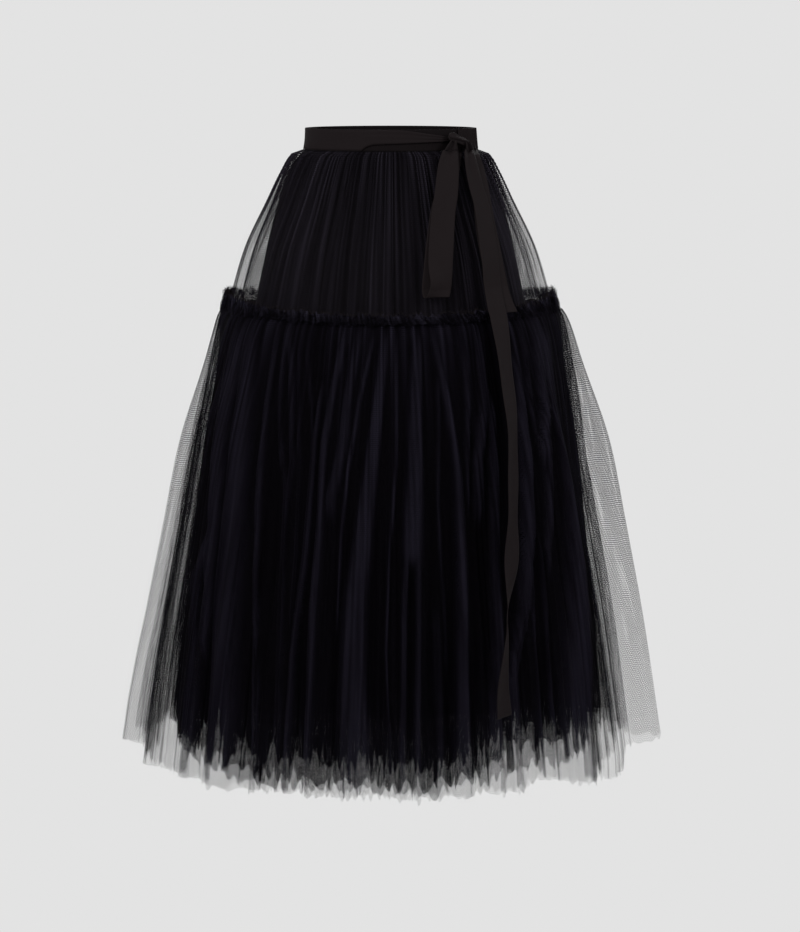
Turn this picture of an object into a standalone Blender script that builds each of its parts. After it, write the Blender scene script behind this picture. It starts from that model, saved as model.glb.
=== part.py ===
"""A midi skirt of gathered net, worn and hollow: waistband, ribbon sash, lining, yoke and full lower tier.

Metres, +Z up. The front faces -Y and +X is the wearer's left. The origin is the middle of the waistband's
opening, at half the band's height. A "drop" is a distance straight down from the waistband's top edge.
"""

from collections import namedtuple
from math import cos, floor, hypot, pi, radians, sin, sqrt

import bmesh
import bpy
from mathutils import Vector

# Driving sizes
BAND_HEIGHT = 0.030
SEAM_GAP = 0.0003
BAND_WALL = 0.002
SASH_WALL = 0.0012
NET_WALL = 0.0016
LINING_WALL = 0.0012
HEADING_WALL = 0.0014
RIBBON_WALL = 0.001
YOKE_END_DROP = 0.2493
HEADING_TOP_DROP = 0.2365
TIER_TOP_DROP = YOKE_END_DROP + SEAM_GAP
SHOULDER_DROP = 0.256
RAMP_DROP = 0.215
HEM_DROP = 0.884
INNER_HEM_DROP = 0.844
LINING_HEM_DROP = 0.800

# How many folds each gathered piece has all round
YOKE_FOLDS = 48
TIER_FOLDS = 44
INNER_FOLDS = 36
HEADING_WAVES = 60
LINING_FLUTES = 12
BAND_FOLDS = 2

# The least drop between two sections of a piece
LEAST_STEP = 0.02
# Mesh columns in each half of a plain ring, and round the sash
PLAIN_COLUMNS = 24
SASH_COLUMNS = 60

# A level section of the skirt: an ellipse at a drop
Section = namedtuple("Section", "drop half_width half_depth")
# How far the deepest fold goes in, at a drop
Stage = namedtuple("Stage", "drop depth")
# How much farther in the tier hangs at its hem, at a share of a turn from the wearer's right side seam
Swing = namedtuple("Swing", "turn inset")
# A section of the sash round the waist: where its two edges are at an angle from the front's middle
Wrap = namedtuple("Wrap", "angle_deg top bottom")
# A section of a hanging ribbon: its middle, its width, how far its right edge is turned back, and its lift
Strip = namedtuple("Strip", "drop x turn_deg width lift")

BAND = [
    Section(0.0, 0.1188, 0.0888),
    Section(0.016, 0.1198, 0.0898),
    Section(BAND_HEIGHT, 0.1215, 0.0915),
]
LINING = [
    Section(BAND_HEIGHT + SEAM_GAP, 0.1210, 0.0910),
    Section(0.042, 0.1335, 0.0990),
    Section(0.056, 0.1415, 0.1065),
    Section(0.110, 0.1605, 0.1215),
    Section(0.216, 0.1855, 0.1410),
    Section(0.400, 0.2200, 0.1660),
    Section(0.600, 0.2550, 0.1900),
    Section(LINING_HEM_DROP, 0.2850, 0.2120),
]
YOKE = [
    Section(BAND_HEIGHT + SEAM_GAP, 0.1232, 0.0932),
    Section(0.0355, 0.1400, 0.1050),
    Section(0.058, 0.1550, 0.1185),
    Section(0.100, 0.1758, 0.1350),
    Section(0.170, 0.2092, 0.1550),
    Section(YOKE_END_DROP, 0.2330, 0.1680),
]
TIER = [
    Section(TIER_TOP_DROP, 0.2360, 0.1705),
    Section(SHOULDER_DROP, 0.2460, 0.1790),
    Section(0.2690, 0.2530, 0.1850),
    Section(0.3320, 0.2735, 0.2070),
    Section(0.4415, 0.3085, 0.2450),
    Section(0.5610, 0.3335, 0.2770),
    Section(0.7160, 0.3640, 0.3095),
    Section(HEM_DROP, 0.3908, 0.3330),
]
HEADING = [
    Section(HEADING_TOP_DROP, 0.2364, 0.1734),
    Section(YOKE_END_DROP, 0.2375, 0.1722),
]

YOKE_DEPTHS = [Stage(0.0303, 0.0), Stage(0.040, 0.0035), Stage(0.110, 0.006), Stage(YOKE_END_DROP, 0.004)]
TIER_DEPTHS = [Stage(TIER_TOP_DROP, 0.003), Stage(0.275, 0.006), Stage(0.45, 0.018), Stage(HEM_DROP, 0.034)]
INNER_DEPTHS = [Stage(TIER_TOP_DROP, 0.002), Stage(0.45, 0.014), Stage(INNER_HEM_DROP, 0.024)]
HEADING_DEPTHS = [Stage(HEADING_TOP_DROP, 0.0050), Stage(YOKE_END_DROP, 0.0006)]
LINING_DEPTHS = [Stage(0.25, 0.0), Stage(LINING_HEM_DROP, 0.008)]
# The room kept between the outer plies' deepest trough and the inner plies' crest
PLY_ROOM = [Stage(TIER_TOP_DROP, 0.0005), Stage(0.30, 0.0025), Stage(INNER_HEM_DROP, 0.004)]

# The large folds: beside each side seam the tier hangs in, so that the fold on the seam stands out
LARGE_FOLDS = [
    Swing(0.0, -0.003),
    Swing(0.0250, 0.020),
    Swing(0.0450, 0.022),
    Swing(0.0682, -0.004),
    Swing(0.1700, 0.004),
    Swing(0.2400, 0.0),
    Swing(0.3300, 0.006),
    Swing(0.3864, -0.014),
    Swing(0.4250, 0.028),
    Swing(0.4700, 0.034),
    Swing(0.4870, 0.030),
    Swing(0.5, -0.007),
    Swing(0.5150, 0.030),
    Swing(0.5450, 0.028),
    Swing(0.6000, -0.006),
    Swing(0.6700, 0.004),
    Swing(0.7500, 0.0),
    Swing(0.8400, 0.006),
    Swing(0.9200, -0.004),
    Swing(0.9550, 0.020),
    Swing(0.9800, 0.018),
    Swing(1.0, -0.003),
]
# The share of a large fold that the cloth has at a drop
LARGE_REACH = [Stage(TIER_TOP_DROP, 0.0), Stage(0.33, 0.25), Stage(0.48, 0.95), Stage(HEM_DROP, 1.0)]
# The share of a large fold that the inner plies follow, and how far it calms the small folds on it
INNER_FOLLOW = 0.65
LARGE_CALM = 18.0
# The inner plies hang smaller than the room inside the outer ones, and lean to the wearer's right
INNER_SMALLER = 0.006
INNER_LEAN = 0.006

# Edges as heights above the origin. The sash runs from the knot's left side round the wearer's right side
# and the back to the knot's right side, so its angles fall from 43 to -309 degrees.
SASH = [
    Wrap(43.0, 0.0035, -0.0015),
    Wrap(36.0, 0.0060, -0.0020),
    Wrap(24.0, 0.0095, -0.0030),
    Wrap(6.5, 0.0142, -0.0045),
    Wrap(-10.5, 0.0148, -0.0060),
    Wrap(-16.0, 0.0148, -0.0095),
    Wrap(-20.0, 0.0148, -0.0148),
    Wrap(-309.0, 0.0148, -0.0148),
]
LOOP = [
    Strip(0.0265, 0.0795, 33, 0.015, 0.0065),
    Strip(0.0437, 0.0772, 27, 0.026, 0.0075),
    Strip(0.0790, 0.0743, 22, 0.034, 0.0075),
    Strip(0.1155, 0.0703, 19, 0.035, 0.0075),
    Strip(0.1950, 0.0652, 15, 0.035, 0.0085),
    Strip(0.2190, 0.0640, 15, 0.035, 0.0080),
    Strip(0.2262, 0.0637, 15, 0.035, 0.0050),
    Strip(0.2190, 0.0642, 15, 0.035, 0.0022),
    Strip(0.1950, 0.0660, 15, 0.035, 0.0018),
    Strip(0.1155, 0.0715, 19, 0.034, 0.0018),
    Strip(0.0790, 0.0770, 23, 0.028, 0.0018),
    Strip(0.0437, 0.0850, 33, 0.018, 0.0018),
    Strip(0.0300, 0.0880, 36, 0.012, 0.0020),
]
LONG_TAIL = [
    Strip(0.0240, 0.1040, 46, 0.014, 0.0110),
    Strip(0.0380, 0.1130, 48, 0.020, 0.0075),
    Strip(0.0550, 0.1180, 48, 0.026, 0.0056),
    Strip(0.0770, 0.1205, 46, 0.031, 0.0050),
    Strip(0.1090, 0.1284, 43, 0.035, 0.0052),
    Strip(0.1720, 0.1375, 41, 0.035, 0.0055),
    Strip(0.2070, 0.1421, 41, 0.035, 0.0060),
    Strip(0.2390, 0.1470, 45, 0.035, 0.0085),
    Strip(0.2585, 0.1508, 48, 0.035, 0.0105),
    Strip(0.3280, 0.1605, 58, 0.035, 0.0115),
    Strip(0.4063, 0.1662, 66, 0.035, 0.0145),
    Strip(0.5064, 0.1667, 66, 0.035, 0.0145),
    Strip(0.5723, 0.1652, 57, 0.035, 0.0130),
    Strip(0.6366, 0.1585, 86, 0.035, 0.0180),
    Strip(0.6700, 0.1572, 84, 0.035, 0.0180),
    Strip(0.7314, 0.1530, 63, 0.035, 0.0140),
    Strip(0.7782, 0.1548, 56, 0.035, 0.0130),
]
SHORT_TAIL = [
    Strip(0.0330, 0.1140, 50, 0.014, 0.0034),
    Strip(0.0514, 0.1190, 46, 0.024, 0.0020),
    Strip(0.0855, 0.1240, 41, 0.032, 0.0018),
    Strip(0.1536, 0.1345, 35, 0.035, 0.0018),
    Strip(0.2200, 0.1490, 33, 0.035, 0.0018),
    Strip(0.2480, 0.1590, 33, 0.035, 0.0022),
]

KNOT_ANGLE_DEG = 45.0
KNOT_DROP = 0.0155
KNOT_HALF_ACROSS = 0.0125
KNOT_HALF_HEIGHT = 0.0085
KNOT_HALF_DEPTH = 0.0065
KNOT_TILT_DEG = -24.0
KNOT_SEAT = 0.0004
KNOT_PINCH = 0.25
KNOT_SEGMENTS = 18
KNOT_RINGS = 10

# Uneven crowding of the folds round the body: how often it swells in a turn, and by how much of a turn
CROWDING = [(3, -0.0060), (5, -0.0045), (9, -0.0032), (14, 0.0018)]
# Shares of a fold's depth kept for the unevenness of crests and troughs
CREST_SHARE = 0.22
TROUGH_LEAST = 0.55
# The share of its depth that the shortest fold has left at a piece's top edge
REACH_LEAST = 0.4
# Hem waves: how many in a turn, and how far each set moves the edge
HEM_WAVES = [(2, 0.0030), (7, 0.0022), (17, 0.0020)]

# Colours of the finishes (linear red, green and blue), with roughness
NET_COLOUR = (0.004, 0.004, 0.007)
LINING_COLOUR = (0.005, 0.0045, 0.005)
BAND_COLOUR = (0.014, 0.011, 0.011)
SASH_COLOUR = (0.019, 0.014, 0.013)


def height(drop):
    """The height of a point that lies a drop below the waistband's top edge."""
    return BAND_HEIGHT / 2 - drop


def eased(rows, at, column):
    """A named column of a table, read at a value of its first column on a smooth curve without overshoot."""
    drops = [row[0] for row in rows]
    values = [getattr(row, column) for row in rows]
    if at <= drops[0]:
        return values[0]
    if at >= drops[-1]:
        return values[-1]
    i = max(k for k in range(len(drops) - 1) if drops[k] <= at)
    slopes = [(values[k + 1] - values[k]) / (drops[k + 1] - drops[k]) for k in range(len(drops) - 1)]

    def tangent(k):
        if k == 0:
            return slopes[0]
        if k == len(drops) - 1:
            return slopes[-1]
        before, after = slopes[k - 1], slopes[k]
        return 0.0 if before * after <= 0 else 2 * before * after / (before + after)

    step = drops[i + 1] - drops[i]
    t = (at - drops[i]) / step
    return (
        values[i] * (1 + 2 * t) * (1 - t) ** 2
        + values[i + 1] * t * t * (3 - 2 * t)
        + step * tangent(i) * t * (1 - t) ** 2
        - step * tangent(i + 1) * t * t * (1 - t)
    )


def ellipse(rows, drop):
    """The half width and half depth of a piece's outer surface at a drop."""
    return eased(rows, drop, "half_width"), eased(rows, drop, "half_depth")


def fold_angle(turn):
    """The angle from the front's middle at a share of a turn, from the wearer's right side seam."""
    crowded = turn + sum(size * sin(2 * pi * rate * turn) for rate, size in CROWDING)
    return 2 * pi * crowded - pi / 2


def wobble(number, spread):
    """An uneven but fixed value from 0 to 1 for a fold's number."""
    return 0.5 + 0.5 * sin(number * number * 1.7 + number * 2.4 + spread)


def fold_inset(turn, share, count, depth, spread):
    """How far in from the outline the cloth lies, in folds of uneven depth, never more than the depth.

    The share says how far down the piece the point lies, because short folds fade out towards its top.
    """
    place = turn * count
    first = floor(place + 1e-9)
    part = place - first
    before = wobble(first % count, spread)
    after = wobble((first + 1) % count, spread)
    crest = CREST_SHARE * depth * (before * (1 - part) + after * part)
    trough_share = TROUGH_LEAST + (1 - TROUGH_LEAST) * wobble(first % count, spread + 2.0)
    reach = min(1.0, REACH_LEAST + (1 - REACH_LEAST) * (wobble(first % count, spread + 4.0) + share))
    trough = (1 - CREST_SHARE) * depth * trough_share * reach * (1 - cos(2 * pi * part)) / 2
    return crest + trough


def hem_shift(turn):
    """How far below or above its level the hem lies at a share of a turn."""
    return sum(size * sin(2 * pi * rate * turn + rate) for rate, size in HEM_WAVES)


def large_fold(turn, drop):
    """How much farther in than its outline the tier hangs, at a share of a turn and a drop."""
    return eased(LARGE_FOLDS, turn, "inset") * eased(LARGE_REACH, drop, "depth")


def ring_point(half_width, half_depth, angle, inset, z):
    """A point on an ellipse moved straight towards the middle by an inset."""
    x = half_width * sin(angle)
    y = -half_depth * cos(angle)
    keep = 1 - inset / hypot(x, y)
    return Vector((x * keep, y * keep, z))


def closed_wall(name, outer, inner, material):
    """One closed solid between two grids of points, given as rows, with its edges and ends closed."""
    mesh = bmesh.new()
    rows, columns = len(outer), len(outer[0])
    out_points = [[mesh.verts.new(point) for point in row] for row in outer]
    in_points = [[mesh.verts.new(point) for point in row] for row in inner]
    for r in range(rows - 1):
        for c in range(columns - 1):
            for side in (out_points, in_points):
                mesh.faces.new((side[r][c], side[r][c + 1], side[r + 1][c + 1], side[r + 1][c]))
    for r in (0, rows - 1):
        for c in range(columns - 1):
            mesh.faces.new((out_points[r][c], out_points[r][c + 1], in_points[r][c + 1], in_points[r][c]))
    for c in (0, columns - 1):
        for r in range(rows - 1):
            mesh.faces.new((out_points[r][c], out_points[r + 1][c], in_points[r + 1][c], in_points[r][c]))
    return finished(name, mesh, material)


def finished(name, mesh, material):
    """A named object from a mesh, with its faces pointing out and its material on."""
    bmesh.ops.recalc_face_normals(mesh, faces=mesh.faces)
    if mesh.calc_volume(signed=True) < 0:
        bmesh.ops.reverse_faces(mesh, faces=mesh.faces)
    data = bpy.data.meshes.new(name)
    mesh.to_mesh(data)
    mesh.free()
    data.materials.append(material)
    made = bpy.data.objects.new(name, data)
    bpy.context.scene.collection.objects.link(made)
    return made


def finish(name, colour, roughness):
    """A cloth finish."""
    made = bpy.data.materials.new(name)
    made.use_nodes = True
    shader = made.node_tree.nodes["Principled BSDF"]
    shader.inputs["Base Color"].default_value = (*colour, 1.0)
    shader.inputs["Roughness"].default_value = roughness
    shader.inputs["Metallic"].default_value = 0.0
    return made


def half_turns(columns):
    """The front and back halves of a ring, each from side seam to side seam, as (name, side, turns)."""
    half = [0.5 * i / columns for i in range(columns + 1)]
    return [("front", -1, half), ("back", 1, [0.5 + turn for turn in half])]


def ring_halves(name, drops, outline, depth_at, count, columns, wall, spread, material,
                hem=0.0, follow=0.0, lean=0.0):
    """The front and the back of a piece that goes round the body, a seam's gap apart at both sides.

    The outline gives the outer ellipse at a drop, depth_at the folds' greatest depth there, hem the share
    of the hem's waves that the lowest row takes, follow the share of the large folds that the piece has,
    and lean how far its lowest row moves towards the wearer's right.
    """
    start, length = drops[0], drops[-1] - drops[0]
    for half_name, side, turns in half_turns(columns):
        grids = []
        for skin in (0.0, wall):
            grid = []
            for drop in drops:
                half_width, half_depth = outline(drop)
                share = (drop - start) / length
                sink = hem * share**3
                row = []
                for turn in turns:
                    large = large_fold(turn, drop) if follow else 0.0
                    depth = depth_at(drop) * (1 - LARGE_CALM * max(0.0, large))
                    inset = fold_inset(turn, share, count, depth, spread) + follow * large + skin
                    z = height(drop + sink * hem_shift(turn))
                    point = ring_point(half_width, half_depth, fold_angle(turn), inset, z)
                    point.x -= lean * share
                    if turn in (turns[0], turns[-1]):
                        point.y = side * SEAM_GAP / 2
                    row.append(point)
                grid.append(row)
            grids.append(grid)
        closed_wall(f"{name}_{half_name}", *grids, material)


def stages(rows):
    """The folds' greatest depth as a function of the drop."""
    return lambda drop: eased(rows, drop, "depth")


def inner_outline(drop):
    """The inner plies' outer ellipse: inside the deepest trough of the outer plies."""
    half_width, half_depth = ellipse(TIER, drop)
    inside = eased(TIER_DEPTHS, drop, "depth") + NET_WALL + eased(PLY_ROOM, drop, "depth")
    inside += INNER_SMALLER * eased(LARGE_REACH, drop, "depth")
    return half_width - inside, half_depth - inside


def bed(drop):
    """The ellipse that the hanging ribbons lie on: the outermost cloth at a drop."""
    bridges = [
        (RAMP_DROP, HEADING_TOP_DROP, YOKE, HEADING),
        (HEADING_TOP_DROP, SHOULDER_DROP, HEADING, TIER),
    ]
    for upper, lower, above, below in bridges:
        if upper <= drop < lower:
            share = (drop - upper) / (lower - upper)
            return tuple(a + (b - a) * share for a, b in zip(ellipse(above, upper), ellipse(below, lower)))
    return ellipse(YOKE if drop < RAMP_DROP else TIER, drop)


def along(rows, steps):
    """Sections of a ribbon on a smooth curve through the table's rows, a few to each stretch."""
    found = []
    for i in range(len(rows) - 1):
        a, b, c, d = (rows[min(max(k, 0), len(rows) - 1)] for k in (i - 1, i, i + 1, i + 2))
        for step in range(steps):
            t = step / steps
            found.append(
                Strip(
                    *(
                        0.5 * (2 * q + (r - p) * t + (2 * p - 5 * q + 4 * r - s) * t * t
                               + (3 * q - p - 3 * r + s) * t**3)
                        for p, q, r, s in zip(a, b, c, d)
                    )
                )
            )
    return found + [rows[-1]]


def strip_middle(section):
    """The middle of a ribbon's section, lifted off the cloth that it lies on."""
    half_width, half_depth = bed(section.drop)
    y = -half_depth * sqrt(1 - (section.x / half_width) ** 2)
    out = Vector((section.x / half_width**2, y / half_depth**2, 0)).normalized()
    return Vector((section.x, y, height(section.drop))) + out * section.lift


def ribbon(name, rows, steps, material):
    """A hanging ribbon as a thin bar through its sections."""
    sections = along(rows, steps)
    middles = [strip_middle(section) for section in sections]
    faces = ([], [])
    for i, section in enumerate(sections):
        ahead = middles[min(i + 1, len(middles) - 1)] - middles[max(i - 1, 0)]
        turn = radians(section.turn_deg)
        across = Vector((cos(turn), sin(turn), 0)) * section.width / 2
        out = across.cross(ahead).normalized() * RIBBON_WALL / 2
        for face, side in zip(faces, (1, -1)):
            face.append([middles[i] + across * share + out * side for share in (-1, 0, 1)])
    return closed_wall(name, *faces, material)


def waistband(material):
    """The waistband's front and back."""
    drops = [row.drop for row in BAND]
    ring_halves("waistband", drops, lambda drop: ellipse(BAND, drop), lambda drop: 0.0,
                BAND_FOLDS, PLAIN_COLUMNS, BAND_WALL, 0.0, material)


def sash_band(material):
    """The sash round the waist, over the waistband, from one side of the knot to the other."""
    grids = ([], [])
    tops = [Stage(-row.angle_deg, row.top) for row in SASH]
    bottoms = [Stage(-row.angle_deg, row.bottom) for row in SASH]
    for level in (0.0, 1.0):
        rows = ([], [])
        for i in range(SASH_COLUMNS + 1):
            angle_deg = SASH[0].angle_deg + (SASH[-1].angle_deg - SASH[0].angle_deg) * i / SASH_COLUMNS
            top, bottom = (eased(table, -angle_deg, "depth") for table in (tops, bottoms))
            z = top + (bottom - top) * level
            half_width, half_depth = ellipse(BAND, height(z))
            for row, out in zip(rows, (SEAM_GAP + SASH_WALL, SEAM_GAP)):
                row.append(ring_point(half_width, half_depth, radians(angle_deg), -out, z))
        for grid, row in zip(grids, rows):
            grid.append(row)
    return closed_wall("sash_band", *grids, material)


def sash_knot(material):
    """The knot: a small pad, tilted down to the tails, that sits on the sash."""
    mesh = bmesh.new()
    bmesh.ops.create_uvsphere(mesh, u_segments=KNOT_SEGMENTS, v_segments=KNOT_RINGS, radius=1.0)
    angle = radians(KNOT_ANGLE_DEG)
    half_width, half_depth = (size + SEAM_GAP + SASH_WALL for size in ellipse(BAND, KNOT_DROP))
    seat = Vector((half_width * sin(angle), -half_depth * cos(angle), height(KNOT_DROP)))
    out = Vector((seat.x / half_width**2, seat.y / half_depth**2, 0)).normalized()
    across = Vector((-out.y, out.x, 0))
    tilt = radians(KNOT_TILT_DEG)
    for vert in mesh.verts:
        x, y, z = vert.co
        plump = 1 - KNOT_PINCH * cos(pi * x) * (1 - abs(z))
        sideways = KNOT_HALF_ACROSS * x
        up = KNOT_HALF_HEIGHT * z * plump
        point = seat + across * (sideways * cos(tilt) - up * sin(tilt))
        point += Vector((0, 0, sideways * sin(tilt) + up * cos(tilt)))
        point += out * (KNOT_HALF_DEPTH * (1 - y) + KNOT_SEAT)
        drop = height(point.z)
        clear_width, clear_depth = (
            size + SEAM_GAP + SASH_WALL + KNOT_SEAT for size in ellipse(BAND, drop)
        )
        reach = hypot(point.x / clear_width, point.y / clear_depth)
        if reach < 1:
            point.x /= reach
            point.y /= reach
        vert.co = point
    return finished("sash_knot", mesh, material)


def level_drops(rows, first=None, last=None):
    """The drops of a piece's sections in order, from a first and to a last drop where they are given."""
    drops = [row.drop for row in rows]
    if first is not None:
        drops = [first] + [drop for drop in drops if drop > first + LEAST_STEP]
    if last is not None:
        drops = [drop for drop in drops if drop < last - LEAST_STEP] + [last]
    return drops


def main():
    """Clears the scene and builds every piece."""
    for old in list(bpy.data.objects):
        bpy.data.objects.remove(old, do_unlink=True)
    net = finish("net", NET_COLOUR, 0.8)
    plain = finish("lining", LINING_COLOUR, 0.75)
    band = finish("waistband", BAND_COLOUR, 0.8)
    sash = finish("sash", SASH_COLOUR, 0.75)

    waistband(band)
    sash_band(sash)
    sash_knot(sash)
    ribbon("sash_loop", LOOP, 2, sash)
    ribbon("sash_tail_long", LONG_TAIL, 2, sash)
    ribbon("sash_tail_short", SHORT_TAIL, 3, sash)
    lining_levels = [
        ("lining_top", level_drops(LINING, last=YOKE_END_DROP)),
        ("lining_skirt", level_drops(LINING, first=TIER_TOP_DROP)),
    ]
    for name, drops in lining_levels:
        ring_halves(name, drops, lambda drop: ellipse(LINING, drop), stages(LINING_DEPTHS),
                    LINING_FLUTES, PLAIN_COLUMNS, LINING_WALL, 0.4, plain)
    ring_halves("yoke_net", level_drops(YOKE), lambda drop: ellipse(YOKE, drop), stages(YOKE_DEPTHS),
                YOKE_FOLDS, YOKE_FOLDS * 3 // 2, NET_WALL, 1.1, net)
    ring_halves("heading", level_drops(HEADING), lambda drop: ellipse(HEADING, drop), stages(HEADING_DEPTHS),
                HEADING_WAVES, HEADING_WAVES, HEADING_WALL, 0.2, net)
    ring_halves("tier_net_outer", level_drops(TIER), lambda drop: ellipse(TIER, drop), stages(TIER_DEPTHS),
                TIER_FOLDS, TIER_FOLDS * 3 // 2, NET_WALL, 2.9, net, hem=1.0, follow=1.0)
    ring_halves("tier_net_inner", level_drops(TIER, last=INNER_HEM_DROP), inner_outline, stages(INNER_DEPTHS),
                INNER_FOLDS, INNER_FOLDS, NET_WALL, 0.7, net, follow=INNER_FOLLOW, lean=INNER_LEAN)


main()
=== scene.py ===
"""A full midi skirt of gathered net with a ribbon sash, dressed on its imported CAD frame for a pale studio.

Metres, +Z up, the front faces -Y and +X is the wearer's left. A "drop" is a distance straight down from the
waistband's top edge, and a "turn" is a share of the way round from the wearer's right side seam, front first.
"""

import logging
from dataclasses import dataclass
from enum import Enum
from functools import partial
from math import cos, pi, radians, sin, sqrt
from typing import Sequence

import bpy
import numpy as np
from bpy.types import ID, Material, Node, NodeSocket, NodeTree, Object
from mathutils import Euler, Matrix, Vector


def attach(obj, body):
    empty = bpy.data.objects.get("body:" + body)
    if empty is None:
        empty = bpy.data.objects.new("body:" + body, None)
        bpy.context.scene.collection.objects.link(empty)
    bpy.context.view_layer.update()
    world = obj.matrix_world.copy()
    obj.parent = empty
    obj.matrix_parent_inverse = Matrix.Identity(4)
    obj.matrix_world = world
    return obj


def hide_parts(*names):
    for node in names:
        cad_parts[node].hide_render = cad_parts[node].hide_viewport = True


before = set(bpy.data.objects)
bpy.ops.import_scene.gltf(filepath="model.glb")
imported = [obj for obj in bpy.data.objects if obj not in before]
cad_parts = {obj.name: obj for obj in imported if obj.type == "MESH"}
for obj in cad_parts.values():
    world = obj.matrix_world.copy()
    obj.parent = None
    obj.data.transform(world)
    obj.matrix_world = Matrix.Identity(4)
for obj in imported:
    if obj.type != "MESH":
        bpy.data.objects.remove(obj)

LOG = logging.getLogger("skirt")

BAND_HEIGHT = 0.030
RIBBON_WIDTH = 0.035
SEAM_GAP = 0.0003
NET_WALL = 0.0016
# The drops of the seams and edges, and of the bends that a ribbon makes over the hip seam
YOKE_TOP_DROP = 0.0303
YOKE_END_DROP = 0.2493
TIER_TOP_DROP = YOKE_END_DROP + SEAM_GAP
HEADING_SEAM_DROP = 0.2505
LINING_HEM_DROP = 0.800
HEM_DROP = 0.884
RAMP_DROP = 0.215
HEADING_TOP_DROP = 0.2365
SHOULDER_DROP = 0.256
# How many folds go round
YOKE_FOLDS = 48
TIER_FOLDS = 44
INNER_FOLDS = 36
LINING_FLUTES = 12
# A gathered net's cut over its own area, for gathers too fine for the mesh
# The side seams' turns, and how far round the right one the outer plies hang calmer
RIGHT_SEAM, LEFT_SEAM = 0.0, 0.5
RIGHT_REACH = 0.065


class Half(Enum):
    """The front or the back of a piece that goes round the body."""

    FRONT = 0
    BACK = 1

    @property
    def label(self) -> str:
        """The end of the piece's name."""
        return self.name.lower()

    def turns(self, columns: int) -> np.ndarray:
        """The turns of a grid's columns over this half, from seam to seam."""
        return (np.linspace(0.0, 0.5, columns) + 0.5 * self.value)[None, :]


def slopes_at(places: np.ndarray, values: np.ndarray) -> np.ndarray:
    """The slope of a smooth curve without overshoot at each of its points.

    Args:
        places: where the points lie, rising.
        values: the curve's value at each.

    Returns:
        One slope a point.
    """
    between = np.diff(values) / np.diff(places)
    before, after = between[:-1], between[1:]
    same = before * after > 0
    total = np.where(same, before + after, 1.0)
    middle = np.where(same, 2 * before * after / total, 0.0)
    return np.concatenate([between[:1], middle, between[-1:]])


class Table:
    """Rows of numbers with named columns, read on a smooth curve that never overshoots."""

    def __init__(self, columns: str, rows: Sequence[Sequence[float]]) -> None:
        """Keeps the rows; the first column is the place along the curve.

        Args:
            columns: the columns' names, with a space between them.
            rows: the rows, in rising places.
        """
        data = np.array(rows, float)
        self.places = data[:, 0]
        self.columns = {name: data[:, i] for i, name in enumerate(columns.split())}

    def read(self, column: str, at: np.ndarray | float) -> np.ndarray:
        """A column's value at each place.

        Args:
            column: the column's name.
            at: the places, in the first column's unit.

        Returns:
            The values, held level past the table's two ends.
        """
        values = self.columns[column]
        at = np.asarray(at, float)
        i = np.clip(np.searchsorted(self.places, at, side="right") - 1, 0, len(values) - 2)
        step = self.places[i + 1] - self.places[i]
        t = np.clip((at - self.places[i]) / step, 0.0, 1.0)
        slope = slopes_at(self.places, values)
        return (
            values[i] * (1 + 2 * t) * (1 - t) ** 2
            + values[i + 1] * t * t * (3 - 2 * t)
            + step * slope[i] * t * (1 - t) ** 2
            - step * slope[i + 1] * t * t * (1 - t)
        )


# The outlines of the cloth: half widths and half depths at each drop
SECTION = "drop half_width half_depth"
BAND = Table(SECTION, [(0.0, 0.1188, 0.0888), (0.016, 0.1198, 0.0898), (0.030, 0.1215, 0.0915)])
LINING = Table(SECTION, [
    (0.0303, 0.1210, 0.0910), (0.0420, 0.1335, 0.0990), (0.0560, 0.1415, 0.1065), (0.1100, 0.1605, 0.1215),
    (0.2160, 0.1855, 0.1410), (0.4000, 0.2200, 0.1660), (0.6000, 0.2550, 0.1900), (0.8000, 0.2850, 0.2120),
])
YOKE = Table(SECTION, [
    (0.0303, 0.1232, 0.0932), (0.0355, 0.1400, 0.1050), (0.0580, 0.1550, 0.1185), (0.1000, 0.1758, 0.1350),
    (0.1700, 0.2092, 0.1550), (0.2493, 0.2330, 0.1680),
])
TIER = Table(SECTION, [
    (0.2496, 0.2360, 0.1705), (0.2560, 0.2460, 0.1790), (0.2690, 0.2530, 0.1850), (0.3320, 0.2735, 0.2070),
    (0.4415, 0.3085, 0.2450), (0.5610, 0.3335, 0.2770), (0.7160, 0.3640, 0.3095), (0.8840, 0.3908, 0.3330),
])
YOKE_SECOND = Table(SECTION, [
    (0.0303, 0.1226, 0.0926), (0.0355, 0.1370, 0.1025), (0.0580, 0.1500, 0.1150), (0.1000, 0.1672, 0.1300),
    (0.1700, 0.1960, 0.1490), (0.2493, 0.2180, 0.1620),
])
HEADING = Table(SECTION, [(0.2365, 0.2364, 0.1734), (0.2493, 0.2375, 0.1722)])

# How deep folds go at each drop, and how far plies draw in
STAGE = "drop depth"
YOKE_DEPTHS = Table(STAGE, [(0.0303, 0.0), (0.040, 0.0035), (0.110, 0.006), (0.2493, 0.004)])
YOKE_SECOND_DEPTHS = Table(STAGE, [(0.0303, 0.0), (0.040, 0.002), (0.110, 0.006), (0.2493, 0.005)])
SIDE_DRAW = Table("drop inset", [(0.2496, 0.0), (0.30, 0.008), (0.39, 0.014), (0.50, 0.019), (0.884, 0.021)])
TIER_DEPTHS = Table(STAGE, [(0.2496, 0.003), (0.275, 0.006), (0.45, 0.018), (0.884, 0.034)])
INNER_DEPTHS = Table(STAGE, [(0.2496, 0.002), (0.45, 0.014), (0.844, 0.024)])
LINING_DEPTHS = Table(STAGE, [(0.25, 0.0), (0.80, 0.008)])
PLY_ROOM = Table(STAGE, [(0.2496, 0.0005), (0.30, 0.0025), (0.844, 0.004)])
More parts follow.
